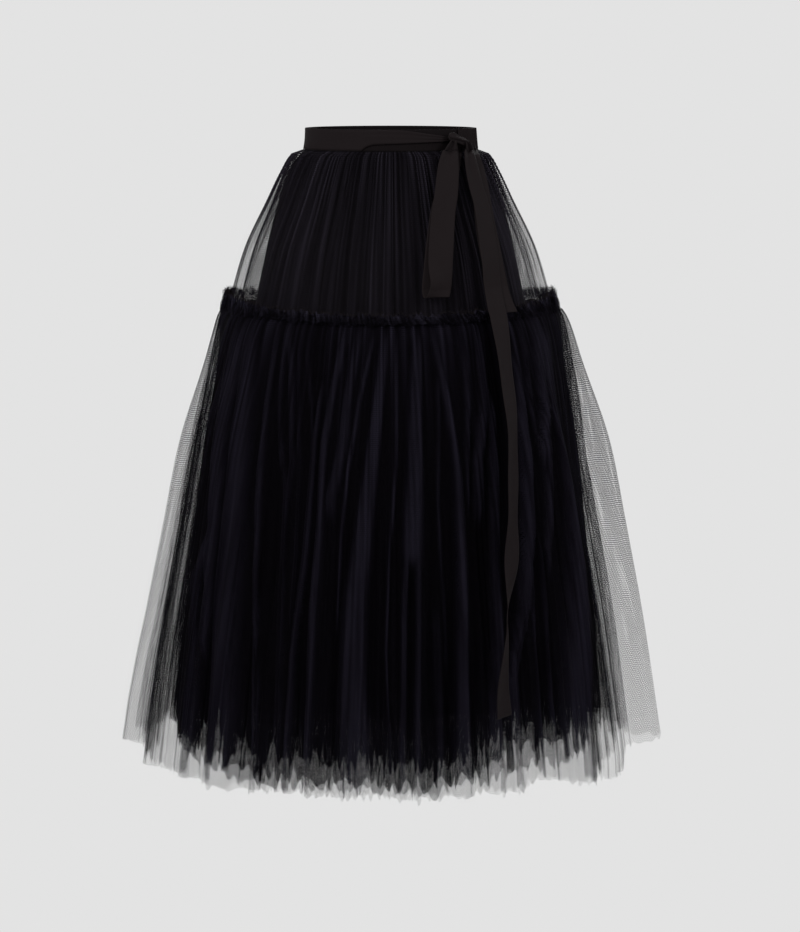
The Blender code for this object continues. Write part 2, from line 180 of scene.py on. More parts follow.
# The tier's large swells and hollows, round the body and down it
LARGE_REACH = Table("drop share", [(0.2496, 0.0), (0.33, 0.25), (0.48, 0.95), (0.884, 1.0)])
LARGE_FOLDS = Table("turn inset", [
    (0.0, -0.003), (0.0250, 0.020), (0.0450, 0.022), (0.0682, -0.004), (0.1700, 0.004), (0.2400, 0.0),
    (0.3300, 0.006), (0.3864, -0.014), (0.4250, 0.028), (0.4700, 0.034), (0.4870, 0.030), (0.5, -0.007),
    (0.5150, 0.030), (0.5450, 0.028), (0.6000, -0.006), (0.6700, 0.004), (0.7500, 0.0), (0.8400, 0.006),
    (0.9200, -0.004), (0.9550, 0.020), (0.9800, 0.018), (1.0, -0.003),
])
# How strongly a hollow flattens the folds in it, for each metre of its depth
LARGE_CALM = 18.0
RIGHT_DRAW = Table("drop inset", [(0.2496, 0.002), (0.29, 0.006), (0.416, 0.0085), (0.53, 0.0085), (0.678, 0.007),
                                  (0.76, 0.003), (0.826, 0.0)])
# The hip seam dips in front, and the cloth on both sides of it dips with it
SEAM_DIP = 0.011
DIP_REACH = Table("drop share", [(0.0303, 0.0), (0.12, 0.25), (0.2493, 1.0), (0.34, 0.75), (0.60, 0.0)])
# How the inner plies follow the outer ones, how much smaller they are and how far they lean to the right
INNER_FOLLOW = 0.65
INNER_SMALLER = 0.006
INNER_LEAN = 0.006
# Swells a turn and their sizes: how unevenly folds crowd round the body, and the hem's slow waves
CROWDING = ((3, -0.0060), (5, -0.0045), (9, -0.0032), (14, 0.0018))
HEM_WAVES = ((2, 0.0030), (7, 0.0022), (17, 0.0020))


def height(drop: np.ndarray | float) -> np.ndarray | float:
    """The height of a point that lies a drop below the waistband's top edge."""
    return BAND_HEIGHT / 2 - drop


def body_angle(turn: np.ndarray) -> np.ndarray:
    """The angle from the front's middle at a turn, with the folds' uneven crowding."""
    crowded = turn + sum(size * np.sin(2 * pi * rate * turn) for rate, size in CROWDING)
    return 2 * pi * crowded - pi / 2


def uneven(turn: np.ndarray, seed: int, slow: int, fast: int) -> np.ndarray:
    """A smooth, uneven value from about -1 to 1 that closes on itself round the body.

    Args:
        turn: where it is read.
        seed: picks the pattern.
        slow: the fewest swells in a turn.
        fast: the most swells in a turn.

    Returns:
        One value a turn.
    """
    source = np.random.default_rng(seed)
    rates = source.integers(slow, fast + 1, 7)
    phases = source.uniform(0, 2 * pi, 7)
    return sum(np.sin(2 * pi * r * turn + p) for r, p in zip(rates, phases)) / 3.2


def wobble(number: np.ndarray, spread: float) -> np.ndarray:
    """An uneven but fixed value from 0 to 1 for each fold's number."""
    return 0.5 + 0.5 * np.sin(number * number * 1.7 + number * 2.4 + spread)


def large_fold(turn: np.ndarray, drop: np.ndarray) -> np.ndarray:
    """How much farther in than its outline the tier hangs, at a turn and a drop."""
    return LARGE_FOLDS.read("inset", turn % 1.0) * LARGE_REACH.read("share", drop)


def seam_dip(turn: np.ndarray, drop: np.ndarray) -> np.ndarray:
    """How much lower the cloth near the hip seam hangs in front and behind than at the sides.

    Args:
        turn: where round the body.
        drop: how far down.

    Returns:
        One value a point, in metres.
    """
    facing = np.cos(body_angle(turn))
    most = np.where(facing > 0, SEAM_DIP, 0.5 * SEAM_DIP)
    return most * facing**2 * DIP_REACH.read("share", drop)


def near_side(turn: np.ndarray, side: float, reach: float) -> np.ndarray:
    """A share from 0 to 1 that tells how near a turn is to one side of the skirt."""
    return np.exp(-(((turn - side + 0.5) % 1.0 - 0.5) / reach) ** 2)


def side_draw(turn: np.ndarray, drop: np.ndarray) -> np.ndarray:
    """How much closer the outer plies hang at the wearer's right side than at the left."""
    return near_side(turn, RIGHT_SEAM, 0.05) * RIGHT_DRAW.read("inset", drop)


def side_tuck(turn: np.ndarray, drop: np.ndarray) -> np.ndarray:
    """How much farther in the second ply hangs at the two sides, where only the outer one flies out."""
    left = 0.040 * near_side(turn, LEFT_SEAM, 0.016)
    return (left + 0.015 * near_side(turn, RIGHT_SEAM, 0.07)) * LARGE_REACH.read("share", drop)


@dataclass(frozen=True)
class TierFold:
    """One fold of the tier's net: its widths in turns, how far it stands out, and its painted highlight."""

    top_width: float
    hem_width: float
    raised: float
    pale: float
    course: tuple[tuple[float, float], ...]

    def field(self, turn: np.ndarray, drop: np.ndarray) -> tuple[np.ndarray, np.ndarray]:
        """The fold's share in the cloth's relief and in its painted highlight.

        Args:
            turn: where round the body.
            drop: how far down.

        Returns:
            How far out each point is lifted, and its painted highlight, both from 0 to 1.
        """
        drops, turns = np.array(self.course).T
        along = (drop - drops[0]) / (drops[-1] - drops[0])
        middle = np.interp(drop, drops, turns)
        half = 0.5 * (self.top_width + (self.hem_width - self.top_width) * np.clip(along, 0, 1))
        ends = np.clip(np.minimum(drop - drops[0] + 0.02, drops[-1] + 0.04 - drop) / 0.03, 0, 1)
        if drops[-1] > 0.74:
            ends = np.clip((drop - drops[0] + 0.02) / 0.03, 0, 1)
        away = np.abs(turn - middle) / half
        side, soft = np.clip((1.12 - away) / 0.5, 0, 1), np.clip((1.18 - away) / 0.95, 0, 1)
        return self.raised * side * side * (3 - 2 * side) * ends, self.pale * soft * soft * (3 - 2 * soft) * ends

    @classmethod
    def along(cls, top_width: float, hem_width: float, raised: float, pale: float, *course: float) -> "TierFold":
        """A fold whose course is given as a drop and a turn, time after time."""
        return cls(top_width, hem_width, raised, pale, tuple(zip(course[::2], course[1::2])))

    def behind(self, shift: float, wider: float) -> "TierFold":
        """A like fold on the back, mirrored and shifted, so that the hidden side hangs as the front does."""
        course = tuple((drop, 1.0 - turn + shift) for drop, turn in self.course)
        return TierFold(self.top_width * wider, self.hem_width * wider, self.raised, self.pale, course)


# Each row: top width, hem width, how far it stands out, its painted highlight, then its course as drop and turn pairs
FRONT_FOLDS = tuple(TierFold.along(*row) for row in (
    (0.0108, 0.0094, 1, 0.7, 0.53, 0.12, 0.61, 0.107, 0.72, 0.117, 0.83, 0.12),
    (0.0266, 0.0045, 0.9, 1, 0.27, 0.096, 0.33, 0.099, 0.4, 0.105, 0.5, 0.115, 0.64, 0.122, 0.69, 0.124),
    (0.0211, 0.0177, 1, 0.8, 0.27, 0.116, 0.37, 0.127, 0.45, 0.132, 0.55, 0.135, 0.66, 0.138, 0.77, 0.141, 0.82,
     0.142),
    (0.005, 0.0022, 0.5, 0.9, 0.27, 0.144, 0.36, 0.145, 0.47, 0.148, 0.6, 0.152, 0.75, 0.158, 0.81, 0.16),
    (0.0032, 0.0024, 0.4, 0.6, 0.27, 0.15, 0.38, 0.155, 0.48, 0.166, 0.57, 0.168, 0.7, 0.17, 0.77, 0.171),
    (0.0064, 0.0021, 0.5, 0.7, 0.27, 0.153, 0.32, 0.16, 0.38, 0.164, 0.44, 0.169, 0.49, 0.168),
    (0.0024, 0.002, 0.35, 0.5, 0.28, 0.162, 0.44, 0.174, 0.57, 0.177, 0.64, 0.177),
    (0.0085, 0.0045, 0.8, 1, 0.26, 0.206, 0.33, 0.199, 0.41, 0.195, 0.52, 0.196, 0.64, 0.194, 0.75, 0.195, 0.81,
     0.195),
    (0.0054, 0.0051, 0.7, 0.9, 0.35, 0.187, 0.47, 0.186, 0.57, 0.185, 0.69, 0.181, 0.82, 0.18),
    (0.0043, 0.0033, 0.4, 0.5, 0.29, 0.17, 0.34, 0.176, 0.37, 0.18, 0.41, 0.184),
    (0.0095, 0.0104, 0.9, 0.8, 0.27, 0.218, 0.35, 0.212, 0.42, 0.21, 0.48, 0.204),
    (0.0053, 0.002, 0.4, 1, 0.27, 0.233, 0.35, 0.222, 0.45, 0.215, 0.54, 0.212, 0.63, 0.212),
    (0.0126, 0.0254, 1, 1, 0.27, 0.246, 0.4, 0.238, 0.52, 0.231, 0.62, 0.225, 0.75, 0.225, 0.82, 0.227),
    (0.0043, 0.0019, 0.4, 0.8, 0.27, 0.258, 0.44, 0.257, 0.55, 0.252, 0.69, 0.249, 0.81, 0.252),
    (0.008, 0.0144, 1, 0.95, 0.27, 0.274, 0.37, 0.271, 0.5, 0.268, 0.55, 0.267),
    (0.0047, 0.0049, 0.9, 0.7, 0.54, 0.264, 0.62, 0.262, 0.7, 0.261, 0.81, 0.26),
    (0.0042, 0.0043, 0.9, 0.7, 0.54, 0.271, 0.62, 0.27, 0.7, 0.269, 0.81, 0.268),
    (0.0024, 0.0013, 0.4, 0.6, 0.33, 0.286, 0.49, 0.282, 0.62, 0.283, 0.7, 0.283),
    (0.0045, 0.0079, 0.9, 0.95, 0.27, 0.285, 0.35, 0.29, 0.45, 0.293, 0.57, 0.293, 0.73, 0.29, 0.81, 0.289),
    (0.0088, 0.0025, 0.8, 0.5, 0.27, 0.304, 0.31, 0.306, 0.36, 0.305, 0.41, 0.301, 0.47, 0.299),
    (0.0145, 0.009, 0.9, 0.75, 0.27, 0.329, 0.36, 0.323, 0.44, 0.308, 0.49, 0.306),
    (0.0104, 0.0091, 0.9, 0.7, 0.36, 0.33, 0.47, 0.323, 0.57, 0.317, 0.68, 0.314, 0.76, 0.307),
    (0.0055, 0.0043, 0.4, 0.35, 0.65, 0.279, 0.7, 0.279, 0.78, 0.279),
    (0.0056, 0.0043, 0.5, 0.6, 0.27, 0.38, 0.3, 0.38, 0.34, 0.375, 0.37, 0.371),
    (0.0088, 0.0112, 0.9, 0.85, 0.31, 0.365, 0.42, 0.358, 0.54, 0.352, 0.64, 0.343, 0.73, 0.323, 0.81, 0.322),
    (0.0238, 0.0084, 0.95, 0.8, 0.27, 0.406, 0.32, 0.398, 0.37, 0.387, 0.42, 0.373),
    (0.006, 0.0044, 0.5, 0.55, 0.41, 0.381, 0.46, 0.374, 0.53, 0.369, 0.57, 0.366),
    (0.0214, 0.0233, 1, 0.8, 0.28, 0.42, 0.38, 0.407, 0.5, 0.395, 0.61, 0.386, 0.72, 0.377, 0.83, 0.37),
    (0.0026, 0.0023, 0.4, 0.7, 0.58, 0.353, 0.63, 0.352, 0.7, 0.35, 0.75, 0.35, 0.81, 0.35),
    (0.0026, 0.0023, 0.4, 0.5, 0.56, 0.361, 0.66, 0.359, 0.77, 0.356, 0.81, 0.357),
))
SIDE_FOLDS = tuple(
    TierFold.along(0.004, 0.003, 0.35, 0.6, 0.27, at, 0.50, at + lean, 0.85, at + 1.5 * lean)
    for at, lean in ((0.012, 0.002), (0.034, -0.003), (0.052, 0.001), (0.071, 0.003), (0.088, -0.002),
                     (0.437, 0.003), (0.462, -0.002), (0.485, 0.001), (0.523, 0.002), (0.546, -0.003),
                     (0.566, 0.002), (0.915, -0.002), (0.937, 0.003), (0.961, 0.001), (0.985, -0.002))
)
SIDE_PANELS = tuple(
    TierFold.along(0.030, 0.024, 1.0, 0.6, 0.26, at, 0.50, at, 0.85, at) for at in (0.0, 0.5, 1.0)
)
BACK_FOLDS = tuple(fold.behind(0.006 * (-1) ** i, 1.1) for i, fold in enumerate(FRONT_FOLDS))
TIER_FOLD_LINES = FRONT_FOLDS + SIDE_PANELS + SIDE_FOLDS + BACK_FOLDS


def fold_field(turn: np.ndarray, drop: np.ndarray) -> tuple[np.ndarray, np.ndarray]:
    """The relief and the painted highlight that all the folds give, both from 0 to 1.

    Args:
        turn: where round the body.
        drop: how far down.

    Returns:
        Both, for each point.
    """
    raised, pale = np.zeros(np.broadcast(turn, drop).shape), np.zeros(np.broadcast(turn, drop).shape)
    for fold in TIER_FOLD_LINES:
        lift, light = fold.field(turn, drop)
        raised, pale = np.maximum(raised, lift), np.maximum(pale, light)
    return raised, pale


def ring_points(outline: Table, drop: np.ndarray, angle: np.ndarray, inset: np.ndarray, z: np.ndarray) -> np.ndarray:
    """Points on an outline's ellipses, each moved straight towards the middle by an inset.

    Args:
        outline: the ellipses' half widths and half depths.
        drop: where the outline is read.
        angle: the angle from the front's middle.
        inset: how far each point moves in.
        z: its height.

    Returns:
        The points, with x, y and z last.
    """
    x = outline.read("half_width", drop) * np.sin(angle)
    y = -outline.read("half_depth", drop) * np.cos(angle)
    keep = 1 - inset / np.hypot(x, y)
    return np.stack(np.broadcast_arrays(x * keep, y * keep, z), axis=-1)


def cloth_map(grid: np.ndarray, drop: np.ndarray, fullness: float = 1.0) -> tuple[np.ndarray, np.ndarray, np.ndarray]:
    """Lays a grid of cloth out flat.

    Args:
        grid: the points, with the widest row last.
        drop: how far down each row or point lies.
        fullness: how much more cloth there is in a row than the row is long.

    Returns:
        The spacing in each row, the cloth's run along the last row, and each point's place in metres of cloth.
    """
    spacing = np.linalg.norm(np.diff(grid, axis=1), axis=2)
    along = np.concatenate([[0.0], np.cumsum(spacing[-1] * fullness)])
    return spacing, along, np.stack(np.broadcast_arrays(along[None, :], drop), axis=-1)


def add_object(name: str, data: ID) -> Object:
    """Puts a new object in the scene, at the origin.

    Args:
        name: its name.
        data: its mesh, light or camera.

    Returns:
        The object.
    """
    made = bpy.data.objects.new(name, data)
    bpy.context.scene.collection.objects.link(made)
    return made


def grid_mesh(name: str, sides: Sequence[np.ndarray], uv: np.ndarray, finish: Material,
              marks: dict[str, np.ndarray] | None = None, closed: bool = False) -> Object:
    """An object made of one grid of points, or of two that are closed into a thin shell.

    Args:
        name: the object's name.
        sides: the outer grid, and for a shell the inner one, as rows x columns x 3.
        uv: rows x columns x 2, in metres of cloth.
        finish: its material.
        marks: values for each point of the grid, kept as attributes for the material.
        closed: whether the first and last columns are joined.

    Returns:
        The object, smooth shaded, with its faces pointing out.
    """
    rows, columns = sides[0].shape[:2]
    count = rows * columns
    number = np.arange(count).reshape(rows, columns)
    if closed:
        number = np.concatenate([number, number[:, :1]], axis=1)
    corner = (number[:-1, :-1], number[1:, :-1], number[1:, 1:], number[:-1, 1:])
    outer = np.stack([c.ravel() for c in corner], axis=1)
    faces = [outer]
    if len(sides) == 2:
        faces.append(outer[:, ::-1] + count)
        rims = [(number[0], 1), (number[-1], -1)]
        if not closed:
            rims += [(number[:, 0], -1), (number[:, -1], 1)]
        for edge, way in rims:
            strip = np.stack([edge[:-1], edge[1:], edge[1:] + count, edge[:-1] + count], axis=1)
            faces.append(strip[:, ::way])
    faces = np.concatenate(faces)
    points = np.concatenate([side.reshape(-1, 3) for side in sides])
    data = bpy.data.meshes.new(name)
    data.from_pydata(points.tolist(), [], faces.tolist())
    layer = data.uv_layers.new(name="cloth")
    flat = np.tile(uv.reshape(-1, 2), (len(sides), 1))
    layer.data.foreach_set("uv", flat[faces.ravel()].ravel().astype(np.float32))
    for mark, values in (marks or {}).items():
        attribute = data.attributes.new(mark, "FLOAT", "POINT")
        attribute.data.foreach_set("value", np.tile(values.ravel(), len(sides)).astype(np.float32))
    data.shade_smooth()
    data.materials.append(finish)
    return add_object(name, data)


def settle(piece: Object, slot: str, *nodes: str) -> Object:
    """Ties a piece to the part's one body, and hides the CAD nodes that it stands for.

    Args:
        piece: the dressed piece.
        slot: not used.
        nodes: the CAD nodes it replaces, if any.

    Returns:
        The same piece.
    """
    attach(piece, "root")
    if nodes:
        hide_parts(*nodes)
    return piece


def linear(hex_colour: str) -> tuple[float, float, float, float]:
    """A colour for a shader's socket, from its code as it shows on a screen.

    Args:
        hex_colour: the sRGB colour, as #rrggbb.

    Returns:
        Its linear red, green and blue, and a full alpha.
    """
    shares = [int(hex_colour[i:i + 2], 16) / 255 for i in (1, 3, 5)]
    curved = [s / 12.92 if s <= 0.04045 else ((s + 0.055) / 1.055) ** 2.4 for s in shares]
    return (*curved, 1.0)


def feed(tree: NodeTree, node: Node, inputs: dict) -> None:
    """Feeds a node's named or numbered inputs, each with a value, an output or another node's first output.

    Args:
        tree: the node tree.
        node: the node.
        inputs: what goes into each input.
    """
    for key, value in inputs.items():
        value = value.outputs[0] if isinstance(value, Node) else value
        if isinstance(value, NodeSocket):
            tree.links.new(value, node.inputs[key])
        else:
            node.inputs[key].default_value = value


def add_node(tree: NodeTree, kind: str, inputs: dict | None = None, **settings) -> Node:
    """Adds a node, sets it and feeds it.

    Args:
        tree: the node tree.
        kind: the node's type.
        inputs: what goes into each named or numbered input, as feed takes it.
        settings: the node's own settings.

    Returns:
        The node.
    """
    node = tree.nodes.new(kind)
    for name, value in settings.items():
        setattr(node, name, value)
    feed(tree, node, inputs or {})
    return node


VECTOR = "ShaderNodeVectorMath"
MATH = "ShaderNodeMath"


def shader_of(name: str) -> tuple[Material, NodeTree, Node]:
    """A new material with its node tree and its main shader.

    Args:
        name: the material's name.

    Returns:
        All three.
    """
    material = bpy.data.materials.new(name)
    material.use_nodes = True
    return material, material.node_tree, material.node_tree.nodes["Principled BSDF"]


@dataclass(frozen=True)
class NetFinish:
    """Soft hexagonal net: what shows is its threads, and between them whatever lies behind."""

    name: str
    thread: str
    thread_painted_lit: str
    open_share: float
    pitch: float

    def build(self) -> Material:
        """The material, with the net's holes worked out from the cloth's own metres.

        Returns:
            The finished material.
        """
        material, tree, shader = shader_of(self.name)
        add = partial(add_node, tree)
        cloth = add("ShaderNodeUVMap", uv_map="cloth")
        place = add(VECTOR, {0: cloth, "Scale": 1 / self.pitch}, operation="SCALE")
        # Two grids of oblongs, one shifted by half an oblong: the nearer centre is that of the point's hexagon
        period, middle = (1.0, sqrt(3), 1.0), (0.5, sqrt(3) / 2, 0.0)
        offsets, reaches = [], []
        for shift in ((0.0, 0.0, 0.0), middle):
            moved = add(VECTOR, {0: place, 1: shift}, operation="ADD")
            within = add(VECTOR, {0: moved, 1: period}, operation="MODULO")
            offset = add(VECTOR, {0: within, 1: middle}, operation="SUBTRACT")
            offsets.append(offset)
            reaches.append(add(VECTOR, {0: offsets[-1]}, operation="LENGTH").outputs["Value"])
        nearer = add(MATH, {0: reaches[0], 1: reaches[1]}, operation="LESS_THAN")
        cell = add("ShaderNodeMix", {"Factor": nearer, 4: offsets[1], 5: offsets[0]}, data_type="VECTOR")
        size = add(VECTOR, {0: cell.outputs[1]}, operation="ABSOLUTE")
        flat, slant = (
            add(VECTOR, {0: size, 1: way}, operation="DOT_PRODUCT").outputs["Value"]
            for way in ((1, 0, 0), (0.5, sqrt(3) / 2, 0))
        )
        out = add(MATH, {0: flat, 1: slant}, operation="MAXIMUM")
        # Where the gathers press the net together its holes close up, as the press attribute says
        press = add("ShaderNodeAttribute", attribute_name="press")
        power = add(MATH, {0: press.outputs["Fac"], 1: 0.5}, operation="MULTIPLY")
        hole = add(MATH, {0: self.open_share, 1: power}, operation="POWER")
        edge = add(MATH, {0: hole, 1: 0.5}, operation="MULTIPLY")
        thread = add(MATH, {0: out, 1: edge}, operation="GREATER_THAN")
        # Painted highlight and shade: the pale attribute mixes the thread's colour towards its lit copy, pale on fold
        # crests and dark in troughs
        pale = add("ShaderNodeAttribute", attribute_name="pale")
        colour = add("ShaderNodeMix", {"Factor": pale.outputs["Fac"], 6: linear(self.thread),
                                       7: linear(self.thread_painted_lit)}, data_type="RGBA")
        feed(tree, shader, {"Alpha": thread, "Base Color": colour.outputs[2], "Roughness": 0.75,
                            "Specular IOR Level": 0.02})
        return material


@dataclass(frozen=True)
class WovenFinish:
    """Plain woven cloth: fine ribs across it, soft shade from its yarns, and no shine."""

    name: str
    colour: str
    colour_light: str
    rib: float
    bump: float
    sheen: float = 0.03

    def build(self) -> Material:
        """The material, with its yarns worked out from the cloth's own metres.

        Returns:
            The finished material.
        """
        material, tree, shader = shader_of(self.name)
        add = partial(add_node, tree)
        cloth = add("ShaderNodeUVMap", uv_map="cloth")
        waves = [
            add("ShaderNodeTexWave", {"Vector": cloth, "Scale": 1 / (self.rib * wide / (2 * pi)),
                                      "Distortion": bend, "Detail": 1.0},
                wave_type="BANDS", bands_direction=way).outputs["Fac"]
            for wide, bend, way in ((20, 0.4, "Y"), (30, 0.6, "X"))
        ]
        yarns = add(MATH, {0: waves[0], 1: waves[1]}, operation="MULTIPLY")
        slubs = add("ShaderNodeTexNoise", {"Vector": cloth, "Scale": 60.0, "Detail": 4.0})
        blend = add(MATH, {0: yarns, 1: slubs.outputs["Fac"]}, operation="MULTIPLY")
        colour = add("ShaderNodeMix", {"Factor": blend, 6: linear(self.colour), 7: linear(self.colour_light)},
                     data_type="RGBA")
        relief = add("ShaderNodeBump", {"Height": blend, "Strength": self.bump, "Distance": self.rib * 0.3})
        rough = add("ShaderNodeMapRange", {"Value": slubs.outputs["Fac"], "To Min": 0.7, "To Max": 0.9})
        feed(tree, shader, {"Base Color": colour.outputs[2], "Normal": relief,
                            "Roughness": rough, "Specular IOR Level": 0.05, "Sheen Weight": self.sheen,
                            "Sheen Roughness": 0.5, "Sheen Tint": linear("#4a4448")})
        return material


class Finishes:
    """Every material of the skirt, made once."""

    def __init__(self) -> None:
        """Builds each material."""
        # Soft nylon tulle, knitted in hexagons and dyed a blue black. Where one ply hangs alone the wall behind
        # shows through its holes, and where folds pile up it closes to black. Real tulle has holes of about
        # 1.5 mm; all the nets are drawn with holes of 2.6 to 3.2 mm, as finer ones wouldn't show in the render.
        # Each net's second colour is a lit copy of its thread, a painted highlight that the pale attribute mixes in
        self.sheer = NetFinish("sheer_net", "#020103", "#1a1821", 0.79, 0.0032).build()
        # The same tulle as the second ply, a little closer to the eye as it hangs in deeper folds
        self.second = NetFinish("second_net", "#020103", "#191720", 0.75, 0.0030).build()
        # The same tulle in the yoke, where fine gathers make streaks over the lining, with a painted highlight on
        # their ridges and painted shade between
        self.yoke = NetFinish("yoke_net", "#020102", "#28252d", 0.775, 0.0030).build()
        # Tulle of several thicknesses in one, each ply's colours, its painted highlight most of all, darker than the
        # last: painted shade that gives the tier its depth
        self.third = NetFinish("third_net", "#030204", "#0e0d12", 0.46, 0.0028).build()
        self.inner = NetFinish("inner_net", "#020103", "#0b0a0f", 0.25, 0.0026).build()
        self.core = NetFinish("core_net", "#010102", "#060508", 0.06, 0.0026).build()
        # Tulle cut raw and crumpled in the seam: dense and dark, with a soft edge of threads and a painted highlight
        # on its crumples
        self.heading = NetFinish("heading_net", "#020103", "#23212b", 0.60, 0.0026).build()
        # Plain woven viscose lining: matt and nearly black, so that the yoke's gathers show against it
        self.lining = WovenFinish("lining_cloth", "#060506", "#090708", 0.0012, 0.15).build()
        # Woven grosgrain: a matt, warm black that is lighter than the net, with ribs too fine to count
        self.band = WovenFinish("band_cloth", "#090607", "#110c0d", 0.0011, 0.35).build()
        self.ribbon = WovenFinish("sash_ribbon", "#120e0f", "#181314", 0.0010, 0.35).build()


class Hang(Enum):
    """How a ply's folds lie."""

    PLACED = "broad and uneven, placed by hand"
    GATHERED = "fine and nearly even"


OUTER_HEMS = Table("turn drop", [
    (0.0, 0.884), (0.03, 0.876), (0.07, 0.884), (0.32, 0.886), (0.345, 0.876), (0.37, 0.884), (0.40, 0.892),
    (0.44, 0.902), (0.468, 0.900), (0.482, 0.882), (0.5, 0.878), (0.53, 0.886), (0.75, 0.884), (0.97, 0.882),
    (1.0, 0.884),
])
SECOND_HEMS = Table("turn drop", [
    (0.0, 0.862), (0.06, 0.878), (0.17, 0.890), (0.27, 0.892), (0.33, 0.880), (0.4, 0.88), (0.46, 0.87),
    (0.5, 0.862), (0.75, 0.882), (1.0, 0.862),
])
THIRD_HEMS = Table("turn drop", [
    (0.0, 0.85), (0.08, 0.872), (0.17, 0.890), (0.26, 0.892), (0.31, 0.882), (0.36, 0.868), (0.42, 0.87),
    (0.5, 0.856), (0.6, 0.872), (0.75, 0.878), (0.9, 0.864), (1.0, 0.85),
])
INNER_HEMS = Table("turn drop", [
    (0.0, 0.84), (0.08, 0.856), (0.17, 0.878), (0.26, 0.884), (0.31, 0.872), (0.34, 0.84), (0.42, 0.836),
    (0.5, 0.834), (0.6, 0.856), (0.75, 0.864), (0.9, 0.844), (1.0, 0.84),
])
CORE_HEMS = Table("turn drop", [
    (0.0, 0.808), (0.08, 0.82), (0.17, 0.85), (0.26, 0.858), (0.31, 0.848), (0.34, 0.814), (0.42, 0.808),
    (0.5, 0.808), (0.6, 0.83), (0.75, 0.84), (0.9, 0.818), (1.0, 0.808),
])


